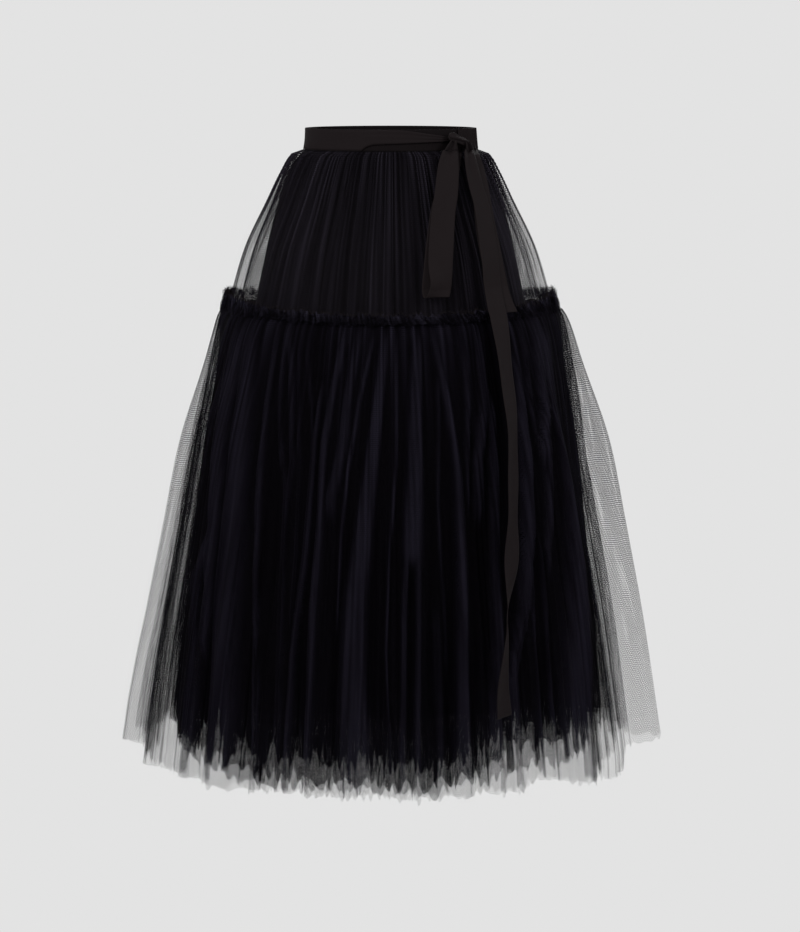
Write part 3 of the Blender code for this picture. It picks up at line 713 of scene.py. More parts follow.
@dataclass(frozen=True)
class Ply:
    """One gathered ply of net round the body, cut as a straight length and drawn up at its top."""

    name: str
    outline: Table
    depths: Table
    top: float
    hem: Table | float
    folds: int
    spread: float
    columns: int
    rows: int
    hang: Hang = Hang.GATHERED
    gap: float = 0.0
    own_depth: float = 0.0
    own_folds: int = 0
    overhang: float = 0.14
    drift: float = 0.3
    gather: float = 0.0025
    gather_reach: float = 0.07
    gather_count: int = 96
    follow: float = 0.0
    tucked: bool = False
    lean: float = 0.0
    seed: int = 1
    hem_rough: float = 0.0
    fullness: float = 1.0
    nodes: bool = True
    crowd: float = 0.0

    def laid(self, turn: np.ndarray, drop: np.ndarray, share: np.ndarray, place: np.ndarray,
             depth: np.ndarray) -> tuple[np.ndarray, np.ndarray]:
        """The main folds.

        Args:
            turn: where round the body, for each column.
            drop: how far down, for each row.
            share: how far down the ply, from 0 to 1.
            place: the number of folds passed, with its drift.
            depth: how deep folds may go.

        Returns:
            How far in each point lies, and its painted highlight from 0 to 1: pale on crests, dark in the troughs.
        """
        if self.hang is Hang.PLACED:
            # Painted highlight on the raised folds, from the listed folds
            raised, pale = fold_field(turn, drop)
            floor = 0.72 + 0.28 * uneven(turn, self.seed + 1, 6, 24)
            ripple = 0.05 * (1 - np.cos(2 * pi * (turn * 150 + 1.5 * uneven(turn, self.seed + 2, 5, 40))))
            return depth * (0.06 + 0.80 * floor * (1 - raised) + ripple), pale
        first = np.floor(place)
        part = place - first
        number = first % self.folds
        before, after = wobble(number, self.spread), wobble((number + 1) % self.folds, self.spread)
        crest = 0.22 * depth * (before * (1 - part) + after * part)
        trough_share = 0.55 + 0.45 * wobble(number, self.spread + 2.0)
        reach = np.minimum(1.0, 0.4 + 0.6 * (wobble(number, self.spread + 4.0) + share))
        sunk = trough_share * reach * (1 - np.cos(2 * pi * part)) / 2
        # Painted shade: paler on each crest, darker down into its trough
        return crest + 0.78 * depth * sunk, 0.25 + 0.7 * np.clip(1 - 2.0 * sunk, 0, 1) ** 1.5 * (0.4 + 0.6 * before)

    def inset(self, turn: np.ndarray, drop: np.ndarray, share: np.ndarray,
              place: np.ndarray) -> tuple[np.ndarray, np.ndarray]:
        """How far in from the outline the ply lies, and its painted highlight.

        Args:
            turn: where round the body, for each column.
            drop: how far down, for each row.
            share: how far down the ply, from 0 to 1.
            place: the number of folds passed, with its drift.

        Returns:
            The inset of each point, and its painted highlight from 0 to 1.
        """
        large = self.follow * large_fold(turn, drop) if self.follow else 0.0 * turn * drop
        depth = self.depths.read("depth", drop) * (1 - LARGE_CALM * np.maximum(0.0, large))
        if self.hang is Hang.PLACED:
            large = large + side_draw(turn, drop)
            depth = depth * (1 - (0.7 if self.tucked else 0.3) * near_side(turn, RIGHT_SEAM, 0.08))
        if self.tucked:
            large = large + side_tuck(turn, drop)
        folded, pale = self.laid(turn, drop, share, place, depth)
        # Fine gathers under the seam, which fade on the way down
        fine = turn * self.gather_count + 0.8 * uneven(turn, self.seed + 5, 5, 30)
        fine_size = 0.35 + 0.65 * wobble(np.floor(fine) % self.gather_count, self.spread)
        ridge = fine_size * ((1 + np.cos(2 * pi * fine)) / 2) ** 1.6
        fine_fade = np.exp(-(drop - self.top) / self.gather_reach)
        gathers = self.gather * fine_fade * np.minimum(1.0, (drop - self.top) / 0.006) * (1 - ridge)
        # Painted highlight on the ridges of the fine gathers, fading on the way down
        pale = pale + (1.1 * ridge - pale) * 0.85 * fine_fade
        # Narrower folds of the ply's own, deepest at the hem
        own = 0.0
        if self.own_folds:
            own_place = turn * self.own_folds + 0.5 * uneven(turn, self.seed + 9, 4, 20) + 0.5 * share
            own_size = 0.2 + 0.8 * wobble(np.floor(own_place) % self.own_folds, self.spread + 1)
            own = self.own_depth * share**1.5 * (1 - np.cos(2 * pi * own_place)) / 2 * own_size
            if self.tucked:
                own = own * (1 - 0.8 * near_side(turn, RIGHT_SEAM, RIGHT_REACH))
        # Painted light that comes and goes along the threads, in patches, and more of it low down and at the left
        painted_streaks = 0.82 + 0.45 * uneven(turn + 0.001 * np.sin(9 * drop), self.seed + 7, 120, 340)
        fading = np.sin(2 * pi * (drop / 0.23 + 1.6 * uneven(turn, self.seed + 10, 6, 40)))
        painted_streaks = painted_streaks * (0.86 + 0.30 * fading)
        painted_patches = 0.92 + 0.20 * uneven(turn + 0.02 * drop, self.seed + 8, 3, 11)
        low = np.clip((drop - 0.73) / 0.13, 0, 1)
        painted_lit = 1 + 0.65 * near_side(turn, 0.42, 0.09) + 0.5 * low
        pale = np.clip((pale + 0.10 * low) * painted_streaks * painted_patches * painted_lit, 0, 1)
        return folded + large + gathers + own + self.gap, pale

    def points(self, half: Half) -> tuple[np.ndarray, np.ndarray, np.ndarray]:
        """The ply's grid for one half.

        Args:
            half: the front or the back.

        Returns:
            The points, the drops of its rows and each point's painted highlight.
        """
        turn = half.turns(self.columns)
        steps = np.linspace(0.0, 1.0, self.rows)[:, None] ** 1.12
        hem = self.hem.read("drop", turn % 1.0) if isinstance(self.hem, Table) else self.hem
        drop = self.top + (hem - self.top) * steps
        share = (drop - self.top) / (HEM_DROP - self.top)
        place = turn * self.folds + self.drift * share * uneven(turn, self.seed, 3, 11)
        inset, pale = self.inset(turn, drop, share, place)
        # Each fold leans over its neighbour
        lap = self.overhang * np.clip(1.4 * share, 0.25, 1.0) / self.folds
        lap = lap * (0.3 + 0.7 * wobble(np.floor(place) % self.folds, self.spread + 3.0))
        angle = body_angle(turn + lap * np.sin(4 * pi * place))
        # The hem sags in waves and ends in uneven points, as net does that is cut and not sewn
        sink = sum(size * np.sin(2 * pi * rate * turn + rate) for rate, size in HEM_WAVES)
        sink = sink + 0.5 * self.hem_rough * uneven(turn, self.seed + 3, 20, 60)
        sink = sink + 1.2 * self.hem_rough * uneven(turn, self.seed + 4, 120, 320)
        z = height(drop + sink * steps**3 + seam_dip(turn, drop))
        grid = ring_points(self.outline, drop, angle, inset, z)
        grid[..., 0] -= self.lean * share
        return grid, drop, pale

    def build(self, finish: Material) -> list[Object]:
        """Args:
            finish: its net.

        Returns:
            The front and the back.
        """
        made = []
        for half in Half:
            grid, drop, pale = self.points(half)
            spacing, _, uv = cloth_map(grid, drop, self.fullness)
            press = (spacing[-1] * self.fullness).mean() / np.maximum(spacing, 1e-6).mean(axis=1, keepdims=True)
            press = press * (1 + self.crowd * np.exp(-(drop[:, :1] - self.top) / 0.05))
            press = np.broadcast_to(np.clip(press, 0.8, 6.0), grid.shape[:2])
            if self.tucked:
                calm = 0.5 - 0.4 * np.clip((drop - 0.66) / 0.18, 0, 1)
                press = press * (1 - calm * near_side(half.turns(self.columns), RIGHT_SEAM, RIGHT_REACH))
            name = f"{self.name}_{half.label}"
            # The pale attribute carries the painted highlight and shade to the net's material
            piece = grid_mesh(f"{name}_cloth", [grid], uv, finish, {"press": press, "pale": pale})
            settle(piece, "net", *([name] if self.nodes else []))
            made.append(piece)
        return made


@dataclass(frozen=True)
class Lining:
    """The plain A-line lining, a thin shell in soft flutes."""

    thickness: float = 0.0004
    columns: int = 121
    rows: int = 40

    def build(self, finish: Material) -> list[Object]:
        """Makes the two halves.

        Args:
            finish: the lining's weave.

        Returns:
            The front and the back.
        """
        made = []
        for half in Half:
            turn = half.turns(self.columns)
            drop = np.linspace(YOKE_TOP_DROP, LINING_HEM_DROP, self.rows)[:, None]
            depth = LINING_DEPTHS.read("depth", drop)
            place = turn * LINING_FLUTES + 0.2 * uneven(turn, 31, 2, 7)
            inset = depth * (1 - np.cos(2 * pi * place)) / 2 + 0.0006 * (1 + uneven(turn + drop / 9, 33, 4, 14))
            sides = [
                ring_points(LINING, drop, body_angle(turn), inset + wall, height(drop))
                for wall in (0.0, self.thickness)
            ]
            spacing, along, uv = cloth_map(sides[0], drop)
            piece = grid_mesh(f"lining_{half.label}_cloth", sides, uv, finish)
            settle(piece, "lining", f"lining_top_{half.label}", f"lining_skirt_{half.label}")
            made.append(piece)
        return made


@dataclass(frozen=True)
class Waistband:
    """The waistband, gathered in fine ribs under the sash, with a turned top edge."""

    ribs: int = 150
    rib_depth: float = 0.0005
    thickness: float = 0.0018
    columns: int = 481

    def build(self, finish: Material) -> list[Object]:
        """Makes the two halves.

        Args:
            finish: the band's weave.

        Returns:
            The front and the back.
        """
        made = []
        for half in Half:
            turn = half.turns(self.columns)
            drop = np.array([0.0, 0.0007, 0.002, 0.005, 0.010, 0.015, 0.020, 0.025, 0.028, 0.030])[:, None]
            edge = np.minimum(1.0, drop / 0.002) ** 0.5
            ribs = np.sin(2 * pi * (self.ribs * turn + 2.0 * uneven(turn, 41, 5, 25)))
            inset = self.rib_depth * (1 + ribs * (0.4 + 0.6 * drop / BAND_HEIGHT)) / 2 + 0.0006 * (1 - edge)
            sides = [
                ring_points(BAND, drop, body_angle(turn), depth, height(drop))
                for depth in (inset, np.full_like(inset, self.thickness))
            ]
            name = f"waistband_{half.label}"
            piece = settle(grid_mesh(f"{name}_cloth", sides, cloth_map(sides[0], drop)[2], finish), "waistband", name)
            made.append(piece)
        return made


def bed(drop: np.ndarray) -> tuple[np.ndarray, np.ndarray]:
    """The half width and half depth of the cloth that hanging ribbons lie on, at a drop.

    Args:
        drop: how far down.

    Returns:
        The half widths and the half depths.
    """
    found = []
    for column in ("half_width", "half_depth"):
        levels = (YOKE.read(column, RAMP_DROP), HEADING.read(column, HEADING_TOP_DROP),
                  TIER.read(column, SHOULDER_DROP))
        over_seam = np.interp(drop, (RAMP_DROP, HEADING_TOP_DROP, SHOULDER_DROP), levels)
        out = np.where(drop < RAMP_DROP, YOKE.read(column, drop), over_seam)
        found.append(np.where(drop >= SHOULDER_DROP, TIER.read(column, drop), out))
    return found[0], found[1]


@dataclass(frozen=True)
class Ribbon:
    """A hanging stretch of the sash, a thin woven strip that bunches up towards the knot.

    Each row gives the ribbon's drop, its x, its turn in degrees, its width and its lift off the cloth.
    """

    name: str
    rows: tuple
    cut_length: float
    bunch: tuple
    steps: int = 12
    across: int = 17
    thickness: float = 0.0007

    def sections(self) -> np.ndarray:
        """Sections on a smooth curve through the table's rows, a few to each stretch.

        Returns:
            One row of numbers a section, as the table's.
        """
        rows = np.array(self.rows, float)
        last = len(rows) - 1
        found = []
        for i in range(last):
            p, q, r, s = (rows[min(max(k, 0), last)] for k in (i - 1, i, i + 1, i + 2))
            for t in np.arange(self.steps) / self.steps:
                curve = 2 * q + (r - p) * t + (2 * p - 5 * q + 4 * r - s) * t * t
                found.append(0.5 * (curve + (3 * q - p - 3 * r + s) * t**3))
        return np.array(found + [rows[last]])

    def build(self, finish: Material) -> list[Object]:
        """Makes the ribbon as a thin closed shell.

        Args:
            finish: the ribbon's weave.

        Returns:
            The one piece, in a list.
        """
        sections = self.sections()
        drop, x, turn, width, lift = sections.T
        half_width, half_depth = bed(drop)
        y = -half_depth * np.sqrt(1 - (x / half_width) ** 2)
        out = np.stack([x / half_width**2, y / half_depth**2, 0 * x], axis=1)
        out /= np.linalg.norm(out, axis=1, keepdims=True)
        middle = np.stack([x, y, height(drop)], axis=1) + out * lift[:, None]
        ahead = np.gradient(middle, axis=0)
        angle = np.radians(turn)
        across = np.stack([np.cos(angle), np.sin(angle), 0 * angle], axis=1)
        face = np.cross(across, ahead)
        face /= np.linalg.norm(face, axis=1, keepdims=True)
        side = np.linspace(-0.5, 0.5, self.across)
        run = np.concatenate([[0.0], np.cumsum(np.linalg.norm(np.diff(middle, axis=0), axis=1))])
        places, sizes = zip(*self.bunch)
        bunched = np.interp(run, places, sizes)[:, None]
        fold = bunched * (np.cos(2 * pi * 1.5 * side + 0.6)[None, :] - 1)
        soft = 0.0007 * np.sin(2 * pi * (run[:, None] / 0.11 + 0.35 * side)) + 0.0012 * (0.25 - side**2)[None, :]
        base = middle[:, None, :] + across[:, None, :] * (side[None, :] * width[:, None])[..., None]
        base = base + face[:, None, :] * (fold + soft)[..., None]
        sides = [base + face[:, None, :] * self.thickness / 2, base - face[:, None, :] * self.thickness / 2]
        uv = np.stack(np.broadcast_arrays((side + 0.5)[None, :] * RIBBON_WIDTH, run[:, None]), axis=-1)
        piece = settle(grid_mesh(f"{self.name}_ribbon", sides, uv, finish), "sash", self.name)
        return [piece]


LOOP_ROWS = (
    (0.0150, 0.0830, 38, 0.013, 0.0062), (0.0265, 0.0797, 33, 0.0225, 0.0075), (0.0420, 0.0770, 27, 0.030, 0.0080),
    (0.0640, 0.0756, 24, 0.0335, 0.0078), (0.0900, 0.0738, 21, 0.035, 0.0075), (0.1155, 0.0703, 19, 0.035, 0.0075),
    (0.1750, 0.0668, 17, 0.035, 0.0085), (0.2060, 0.0668, 30, 0.034, 0.0118), (0.2240, 0.0634, 22, 0.035, 0.0070),
    (0.2190, 0.0604, 13, 0.035, 0.0022), (0.1950, 0.0614, 13, 0.035, 0.0018), (0.1155, 0.0700, 18, 0.034, 0.0018),
    (0.0790, 0.0770, 23, 0.028, 0.0018), (0.0500, 0.0870, 31, 0.020, 0.0018), (0.0330, 0.0915, 35, 0.014, 0.0020),
    (0.0200, 0.0900, 38, 0.010, 0.0040),
)
LONG_TAIL_ROWS = (
    (0.0180, 0.0990, 46, 0.013, 0.0100), (0.0270, 0.1020, 46, 0.019, 0.0095), (0.0390, 0.1050, 47, 0.0235, 0.0078),
    (0.0550, 0.1090, 48, 0.027, 0.0062), (0.0790, 0.1150, 49, 0.031, 0.0060), (0.1090, 0.1236, 50, 0.035, 0.0066),
    (0.1720, 0.1333, 48, 0.035, 0.0068), (0.2070, 0.1370, 44, 0.035, 0.0066), (0.2390, 0.1412, 47, 0.035, 0.0090),
    (0.2585, 0.1446, 50, 0.035, 0.0108), (0.3280, 0.1536, 59, 0.035, 0.0118), (0.4063, 0.1600, 66, 0.035, 0.0145),
    (0.5064, 0.1600, 66, 0.035, 0.0145), (0.5723, 0.1588, 57, 0.035, 0.0130), (0.6366, 0.1520, 86, 0.035, 0.0180),
    (0.6700, 0.1508, 84, 0.035, 0.0180), (0.7314, 0.1475, 63, 0.035, 0.0140), (0.7770, 0.1496, 57, 0.035, 0.0132),
)
SHORT_TAIL_ROWS = (
    (0.0240, 0.1110, 50, 0.012, 0.0036), (0.0330, 0.1150, 50, 0.016, 0.0034), (0.0514, 0.1190, 46, 0.024, 0.0020),
    (0.0855, 0.1240, 41, 0.032, 0.0018), (0.1536, 0.1345, 35, 0.035, 0.0018), (0.2200, 0.1490, 33, 0.035, 0.0018),
    (0.2480, 0.1590, 33, 0.035, 0.0022),
)
SASH = Table("angle top bottom", [
    (-43.0, 0.0035, -0.0015), (-36.0, 0.0060, -0.0020), (-24.0, 0.0095, -0.0030), (-6.5, 0.0142, -0.0045),
    (10.5, 0.0148, -0.0060), (16.0, 0.0148, -0.0095), (20.0, 0.0148, -0.0148), (309.0, 0.0148, -0.0148),
])


@dataclass(frozen=True)
class SashBand:
    """The sash round the waist, drawn together where it runs into the knot."""

    columns: int = 1000
    rows: int = 9
    thickness: float = 0.0009
    creases: float = 0.0011
    start: float = -43.0
    end: float = 309.0
    open_height: float = 0.0296
    mean_radius: float = 0.106

    def build(self, finish: Material) -> list[Object]:
        """Makes the band as a thin closed shell.

        Args:
            finish: the ribbon's weave.

        Returns:
            The one piece, in a list.
        """
        turned = np.linspace(self.start, self.end, self.columns)[None, :]
        level = np.linspace(0.0, 1.0, self.rows)[:, None]
        top, bottom = SASH.read("top", turned), SASH.read("bottom", turned)
        z = top + (bottom - top) * level
        drawn = 1 - np.clip((top - bottom) / self.open_height, 0.0, 1.0)
        crease = self.creases * drawn * (1 + np.sin(2 * pi * (2.6 * level + 0.004 * turned)))
        slack = 0.0003 * (1 + np.sin(radians(1) * 7 * turned) * np.sin(pi * level))
        ribbed = np.clip((turned - 262) / 12, 0, 1)
        slack = slack + 0.0005 * ribbed * (1 + np.sin(2 * pi * (turned / 1.25 + 0.15 * np.sin(0.7 * turned))))
        sides = [
            ring_points(BAND, height(z), -np.radians(turned), -(SEAM_GAP + out + crease + slack), z)
            for out in (self.thickness, 0.0)
        ]
        run = np.radians(turned) * self.mean_radius
        uv = np.stack(np.broadcast_arrays((1 - level) * RIBBON_WIDTH, run + 1.0), axis=-1)
        sides = [side[:, ::-1] for side in sides]
        piece = settle(grid_mesh("sash_band_ribbon", sides, uv[:, ::-1], finish), "sash", "sash_band")
        return [piece]


@dataclass(frozen=True)
class Knot:
    """The knot: folded ribbon wrapped tightly round itself, tilted down to the tails."""

    angle: float = 48.0
    drop: float = 0.0150
    half_across: float = 0.0190
    half_height: float = 0.0075
    half_depth: float = 0.0068
    tilt: float = -21.0
    pleats: float = 5.0
    pleat_depth: float = 0.22
    pinch: float = 0.22
    seat: float = 0.0015
    clear: float = 0.0019
    columns: int = 72
    rows: int = 40

    def build(self, finish: Material) -> list[Object]:
        """Makes the knot's closed form, pinched in at both ends and pleated along its wrap.

        Args:
            finish: the ribbon's weave.

        Returns:
            The one piece, in a list.
        """
        around = np.linspace(0, 2 * pi, self.columns, endpoint=False)[None, :]
        along = np.linspace(0.02, pi - 0.02, self.rows)[:, None]
        x = np.cos(along) + 0 * around
        ring = np.sin(along) ** 0.75
        up, out = ring * np.sin(around), ring * np.cos(around)
        pleat = 1 - self.pleat_depth * (1 + np.sin(self.pleats * around + 2.2 * along)) / 2
        up, out = up * pleat * (1 - self.pinch * np.cos(pi * x)), out * pleat
        angle, tilt = radians(self.angle), radians(self.tilt)
        half_width = float(BAND.read("half_width", self.drop)) + self.seat
        half_depth = float(BAND.read("half_depth", self.drop)) + self.seat
        seat = np.array([half_width * sin(angle), -half_depth * cos(angle), height(self.drop)])
        away = np.array([seat[0] / half_width**2, seat[1] / half_depth**2, 0.0])
        away /= np.linalg.norm(away)
        across = np.array([-away[1], away[0], 0.0])
        sideways, upward = self.half_across * x, self.half_height * up
        grid = seat + across * (sideways * cos(tilt) - upward * sin(tilt))[..., None]
        grid = grid + np.array([0, 0, 1.0]) * (sideways * sin(tilt) + upward * cos(tilt))[..., None]
        grid = grid + away * (self.half_depth * (1 + out) + 0.0004)[..., None]
        drop = height(grid[..., 2])
        clear_width, clear_depth = (BAND.read(column, drop) + self.clear for column in ("half_width", "half_depth"))
        reach = np.minimum(1.0, np.hypot(grid[..., 0] / clear_width, grid[..., 1] / clear_depth))
        grid[..., :2] /= reach[..., None]
        uv = np.stack(np.broadcast_arrays(0.01 * around, 0.012 * along), axis=-1)
        piece = grid_mesh("sash_knot_ribbon", [grid[::-1]], uv[::-1], finish, closed=True)
        return [settle(piece, "sash", "sash_knot")]


@dataclass(frozen=True)
class Heading:
    """The raw-edged heading that stands on the hip seam: crumpled strips of net with loose cut ends."""

    layers: int = 3
    columns: int = 1100
    rows: int = 7

    def strip(self, layer: int, turn: np.ndarray, level: np.ndarray) -> tuple[np.ndarray, np.ndarray]:
        """One layer's grid and its drops.

        Args:
            layer: the layer's number from the outside.
            turn: where round the body, for each column.
            level: how far up the strip, from 0 to 1, for each row.

        Returns:
            The points and the drops.
        """
        aside = np.abs(np.sin(body_angle(turn))) ** 6
        top = HEADING_TOP_DROP + 0.0014 - 0.0075 * aside + (0.0026 + 0.002 * aside) * uneven(turn, 60 + layer, 25, 90)
        top = top + 0.0012 * layer + 0.0012 * uneven(turn, 65 + layer, 160, 330)
        bottom = HEADING_SEAM_DROP + 0.009 * aside + 0.0022 * uneven(turn, 70 + layer, 25, 110)
        drop = bottom + (top - bottom) * level
        flare = level**0.8 * (1 + 0.9 * aside)
        crumple = turn + 0.0040 * np.sin(4 * level + 2 * pi * 9 * turn)
        waves = 0.0034 * flare * uneven(crumple, 80 + layer, 25, 100)
        waves = waves + 0.0016 * uneven(crumple, 90 + layer, 120, 280) * np.sin(pi * (0.2 + 0.7 * level))
        inset = 0.0020 * layer - 0.0005 + 0.0022 * flare - waves - 0.004 * (1 - level)
        return ring_points(HEADING, drop, body_angle(turn), inset, height(drop + seam_dip(turn, drop))), drop

    def build(self, finish: Material, thread: Material) -> list[Object]:
        """Makes each half's strips, and the cut ends that stick up from them.

        Args:
            finish: the strips' net.
            thread: the cut ends' thread.

        Returns:
            The strips and the ends, front first.
        """
        made = []
        level = np.linspace(0.0, 1.0, self.rows)[:, None]
        for half in Half:
            name, turn, tips = f"heading_{half.label}", half.turns(self.columns), []
            for layer in range(self.layers):
                grid, drop = self.strip(layer, turn, level)
                uv = cloth_map(grid, drop)[2]
                press = np.full(grid.shape[:2], 1.2)
                # Painted highlight: pale specks and patches on the crumpled strips, paler towards their top edge
                painted_specks = 0.45 + 0.75 * uneven(turn + 0.003 * level, 95 + layer, 60, 300)
                painted_patches = 0.55 + 0.75 * uneven(turn, 98 + layer, 8, 40)
                pale = np.clip((0.30 + 0.9 * level**2) * painted_specks * painted_patches, 0, 1) + 0 * drop
                nodes = [name] if layer == 0 else []
                piece = settle(grid_mesh(f"{name}_strip_{layer + 1}", [grid[::-1]], uv[::-1], finish,
                                         {"press": press, "pale": pale[::-1]}), "net", *nodes)
                made.append(piece)
                tips.append(grid[-1])
            ends = CutEnds(f"{name}_cut_ends", 61 + half.value).build(np.concatenate(tips), thread)
            made.append(settle(ends, "net"))
        return made


@dataclass(frozen=True)
class CutEnds:
    """Short loose thread ends that stand along a cut edge, placed by Geometry Nodes."""

    name: str
    seed: int
    share: float = 0.9
    length: float = 0.0042
    radius: float = 0.00024

    def build(self, points: np.ndarray, thread: Material) -> Object:
        """Makes the ends.

        Args:
            points: where the cut edge runs.
            thread: the ends' material.

        Returns:
            A plain mesh of all the ends.
        """
        data = bpy.data.meshes.new(self.name)
        data.from_pydata(points.tolist(), [], [])
        host = add_object(self.name, data)
        tree = bpy.data.node_groups.new(self.name, "GeometryNodeTree")
        sockets = {
            name: tree.interface.new_socket(name, in_out=way, socket_type=f"NodeSocket{kind}")
            for name, way, kind in (("Edge", "INPUT", "Geometry"), ("Share", "INPUT", "Float"),
                                    ("Length", "INPUT", "Float"), ("Ends", "OUTPUT", "Geometry"))
        }
        add = partial(add_node, tree)
        start = add("NodeGroupInput")
        pick = add("FunctionNodeRandomValue", {"Probability": start.outputs["Share"], "Seed": self.seed},
                   data_type="BOOLEAN")
        lean = add("FunctionNodeRandomValue", {0: (-0.9, -0.9, 0.0), 1: (0.9, 0.9, 6.28), "Seed": self.seed + 1},
                   data_type="FLOAT_VECTOR")
        size = add("FunctionNodeRandomValue", {2: 0.35, 3: 1.0, "Seed": self.seed + 2}, data_type="FLOAT")
        line = add("GeometryNodeMeshCone", {"Vertices": 3, "Side Segments": 1, "Radius Top": 0.0001,
                                            "Radius Bottom": self.radius, "Depth": start.outputs["Length"]},
                   fill_type="NONE")
        placed = add("GeometryNodeInstanceOnPoints", {"Points": start.outputs["Edge"], "Selection": pick.outputs[3],
                                                      "Instance": line, "Rotation": lean, "Scale": size.outputs[1]})
        real = add("GeometryNodeRealizeInstances", {0: placed})
        dressed = add("GeometryNodeSetMaterial", {0: real, "Material": thread})
        add("NodeGroupOutput", {0: dressed})
        modifier = host.modifiers.new("ends", "NODES")
        modifier.node_group = tree
        modifier[sockets["Share"].identifier] = self.share
        modifier[sockets["Length"].identifier] = self.length
        graph = bpy.context.evaluated_depsgraph_get()
        mesh = bpy.data.meshes.new_from_object(host.evaluated_get(graph))
        host.modifiers.remove(modifier)
        host.data = mesh
        if not mesh.materials:
            mesh.materials.append(thread)
        layer = mesh.uv_layers.new(name="cloth")
        layer.data.foreach_set("uv", np.zeros(len(mesh.loops) * 2, np.float32))
        return host


@dataclass(frozen=True)
class Skirt:
    """The whole skirt, piece by piece, from the inside out."""

    finishes: Finishes

    def nets(self) -> list[Object]:
        """Makes every net ply of the tier, from the outside in, and then those of the yoke.

        Returns:
            The pieces.
        """
        outer = dict(outline=TIER, depths=TIER_DEPTHS, top=TIER_TOP_DROP, folds=TIER_FOLDS, spread=2.9, columns=701,
                     rows=60, hang=Hang.PLACED, overhang=0.0)
        inner = dict(depths=INNER_DEPTHS, top=TIER_TOP_DROP, folds=INNER_FOLDS, spread=0.7, follow=INNER_FOLLOW)
        yoke = dict(top=YOKE_TOP_DROP, hem=YOKE_END_DROP, folds=YOKE_FOLDS, columns=561, rows=26, crowd=1.3,
                    overhang=0.16, drift=0.15, gather=0.0024, gather_reach=0.40, gather_count=140, fullness=1.25)
        plies = (
            (self.finishes.sheer, Ply("tier_net_outer", hem=OUTER_HEMS, follow=1.0, own_depth=0.004, own_folds=118,
                                      seed=11, hem_rough=0.003, **outer)),
            (self.finishes.second, Ply("tier_net_second", hem=SECOND_HEMS, follow=1.3, tucked=True, gap=0.0030,
                                       own_depth=0.009, own_folds=82, seed=14, hem_rough=0.004, nodes=False,
                                       **outer)),
            (self.finishes.third, Ply("tier_net_third", outline=self.inner_outline(0.9), hem=THIRD_HEMS,
                                      own_depth=0.010, own_folds=96, columns=561, rows=44, seed=23, hem_rough=0.007,
                                      lean=0.003, nodes=False, **inner)),
            (self.finishes.inner, Ply("tier_net_inner", outline=self.inner_outline(1.0), hem=INNER_HEMS, gap=0.0020,
                                      own_depth=0.008, own_folds=88, columns=451, rows=36, seed=21, hem_rough=0.009,
                                      lean=INNER_LEAN, **inner)),
            (self.finishes.core, Ply("tier_net_core", outline=self.inner_outline(1.5), hem=CORE_HEMS, gap=0.006,
                                     own_depth=0.006, own_folds=70, columns=361, rows=30, seed=25, hem_rough=0.015,
                                     lean=INNER_LEAN, nodes=False, **inner)),
            (self.finishes.yoke, Ply("yoke_net", outline=YOKE, depths=YOKE_DEPTHS, spread=1.1, seed=51, **yoke)),
            (self.finishes.yoke, Ply("yoke_second", outline=YOKE_SECOND, depths=YOKE_SECOND_DEPTHS, spread=2.3,
                                     seed=55, nodes=False, **yoke)),
        )
        return [piece for finish, ply in plies for piece in ply.build(finish)]

    @staticmethod
    def inner_outline(narrow: float) -> Table:
        """An inner ply's outline, inside the outer plies' deepest trough.

        Args:
            narrow: how strongly the ply draws in at the two sides.

        Returns:
            The outline's table.
        """
        rows = []
        for drop in TIER.places:
            inside = float(TIER_DEPTHS.read("depth", drop) + NET_WALL + PLY_ROOM.read("depth", drop))
            inside += INNER_SMALLER * float(LARGE_REACH.read("share", drop))
            aside = narrow * float(SIDE_DRAW.read("inset", drop))
            rows.append((drop, float(TIER.read("half_width", drop)) - inside - aside,
                         float(TIER.read("half_depth", drop)) - inside))
        return Table(SECTION, rows)

    def build(self) -> list[Object]:
        """Makes every piece.

        Returns:
            The pieces, in the order they were made.
        """
        ribbon = self.finishes.ribbon
        made = Lining().build(self.finishes.lining) + self.nets()
        made += Heading().build(self.finishes.heading, ribbon) + Waistband().build(self.finishes.band)
        loop_bunch = ((0.0, 0.0022), (0.05, 0.0006), (0.09, 0.0), (0.32, 0.0), (0.40, 0.0012))
        parts = (
            SashBand(), Knot(), Ribbon("sash_loop", LOOP_ROWS, 0.43, loop_bunch),
            Ribbon("sash_tail_long", LONG_TAIL_ROWS, 0.79, ((0.0, 0.0022), (0.05, 0.0010), (0.10, 0.0))),
            Ribbon("sash_tail_short", SHORT_TAIL_ROWS, 0.24, ((0.0, 0.0010), (0.05, 0.0))),
        )
        return made + [piece for part in parts for piece in part.build(ribbon)]


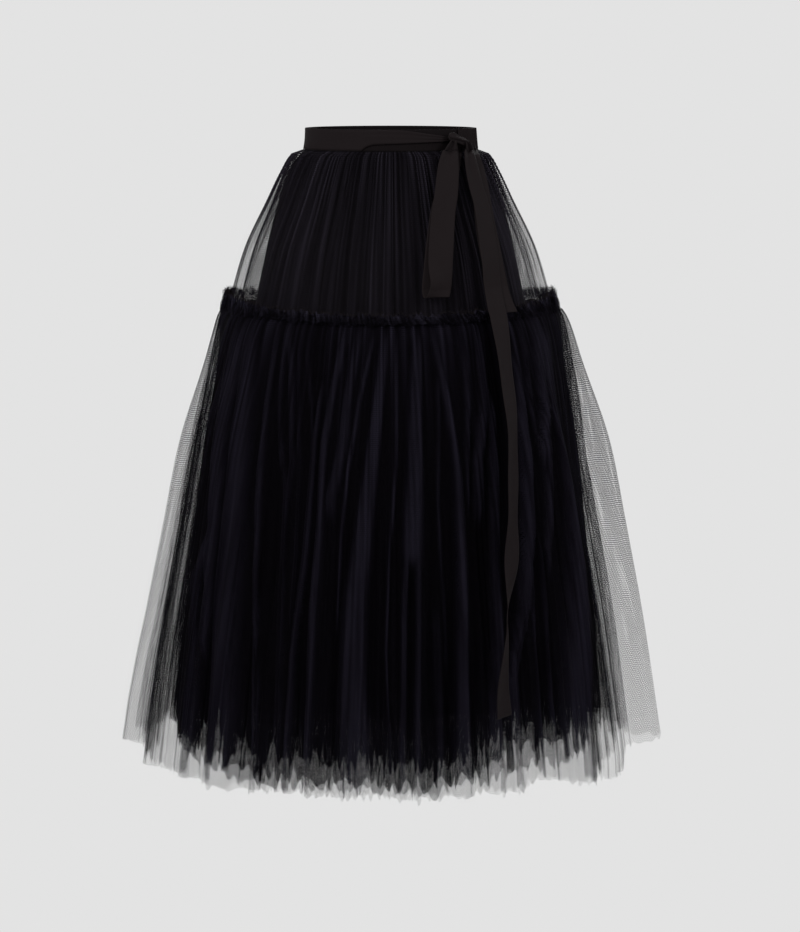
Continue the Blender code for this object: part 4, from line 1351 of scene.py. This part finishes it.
@dataclass(frozen=True)
class Studio:
    """A pale seamless studio with one soft key light, and the photograph's camera."""

    pale: str = "#e3e3e3"
    floor_level: float = -1.06
    floor_radius: float = 9.0
    camera_place: tuple = (0.0135, -4.0, 0.145)
    pitch: float = 8.7
    lens: float = 109.0
    sensor: float = 36.0
    lit_place: tuple = (0, 0, -0.45)
    see_through_layers: int = 64

    def lights(self) -> None:
        """The world's even pale light and the softboxes."""
        world = bpy.data.worlds.new("studio")
        bpy.context.scene.world = world
        world.use_nodes = True
        world.node_tree.nodes["Background"].inputs["Color"].default_value = linear(self.pale)
        boxes = (("key", (-2.1, -2.9, 1.9), 1.5, 130.0), ("side", (2.8, -1.6, 1.2), 1.2, 55.0),
                 ("rim", (0.6, 3.0, 2.0), 1.4, 60.0))
        for name, place, size, power in boxes:
            light = bpy.data.lights.new(name, "AREA")
            light.size = size
            light.energy = power
            made = add_object(name, light)
            made.location = place
            aim = Vector(self.lit_place) - Vector(place)
            made.rotation_euler = aim.to_track_quat("-Z", "Y").to_euler()
            made.visible_camera = False

    def floor(self) -> None:
        """A pale floor as bright as the wall behind, so that no horizon shows."""
        material, tree, shader = shader_of("pale_floor")
        feed(tree, shader, {"Base Color": (0, 0, 0, 1), "Specular IOR Level": 0.0, "Roughness": 1.0,
                            "Emission Color": linear(self.pale), "Emission Strength": 1.0})
        material.cycles.emission_sampling = "NONE"
        ring = np.linspace(0, 2 * pi, 65)[:-1]
        points = [(self.floor_radius * cos(a), self.floor_radius * sin(a), self.floor_level) for a in ring]
        data = bpy.data.meshes.new("floor")
        data.from_pydata(points, [], [tuple(range(len(points)))])
        data.materials.append(material)
        add_object("floor", data)

    def camera(self) -> None:
        """The camera at the photograph's place, height and angle."""
        data = bpy.data.cameras.new("camera")
        data.lens = self.lens
        data.sensor_width = data.sensor_height = self.sensor
        data.sensor_fit = "AUTO"
        made = add_object("camera", data)
        made.location = self.camera_place
        made.rotation_euler = Euler((radians(90 - self.pitch), 0, 0))
        bpy.context.scene.camera = made

    def build(self) -> None:
        """Makes the studio."""
        self.lights()
        self.floor()
        self.camera()
        scene = bpy.context.scene
        scene.view_settings.view_transform = "Standard"
        scene.view_settings.look = "None"
        scene.cycles.transparent_max_bounces = self.see_through_layers


def main() -> None:
    """Builds the skirt and the studio, and notes the sizes."""
    logging.basicConfig(level=logging.INFO)
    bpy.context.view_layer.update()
    triangles = 0
    for piece in Skirt(Finishes()).build():
        piece.data.calc_loop_triangles()
        triangles += len(piece.data.loop_triangles)
        LOG.info("%s: %d triangles", piece.name, len(piece.data.loop_triangles))
    LOG.info("all pieces: %d triangles", triangles)
    Studio().build()


if __name__ == "__main__":
    main()
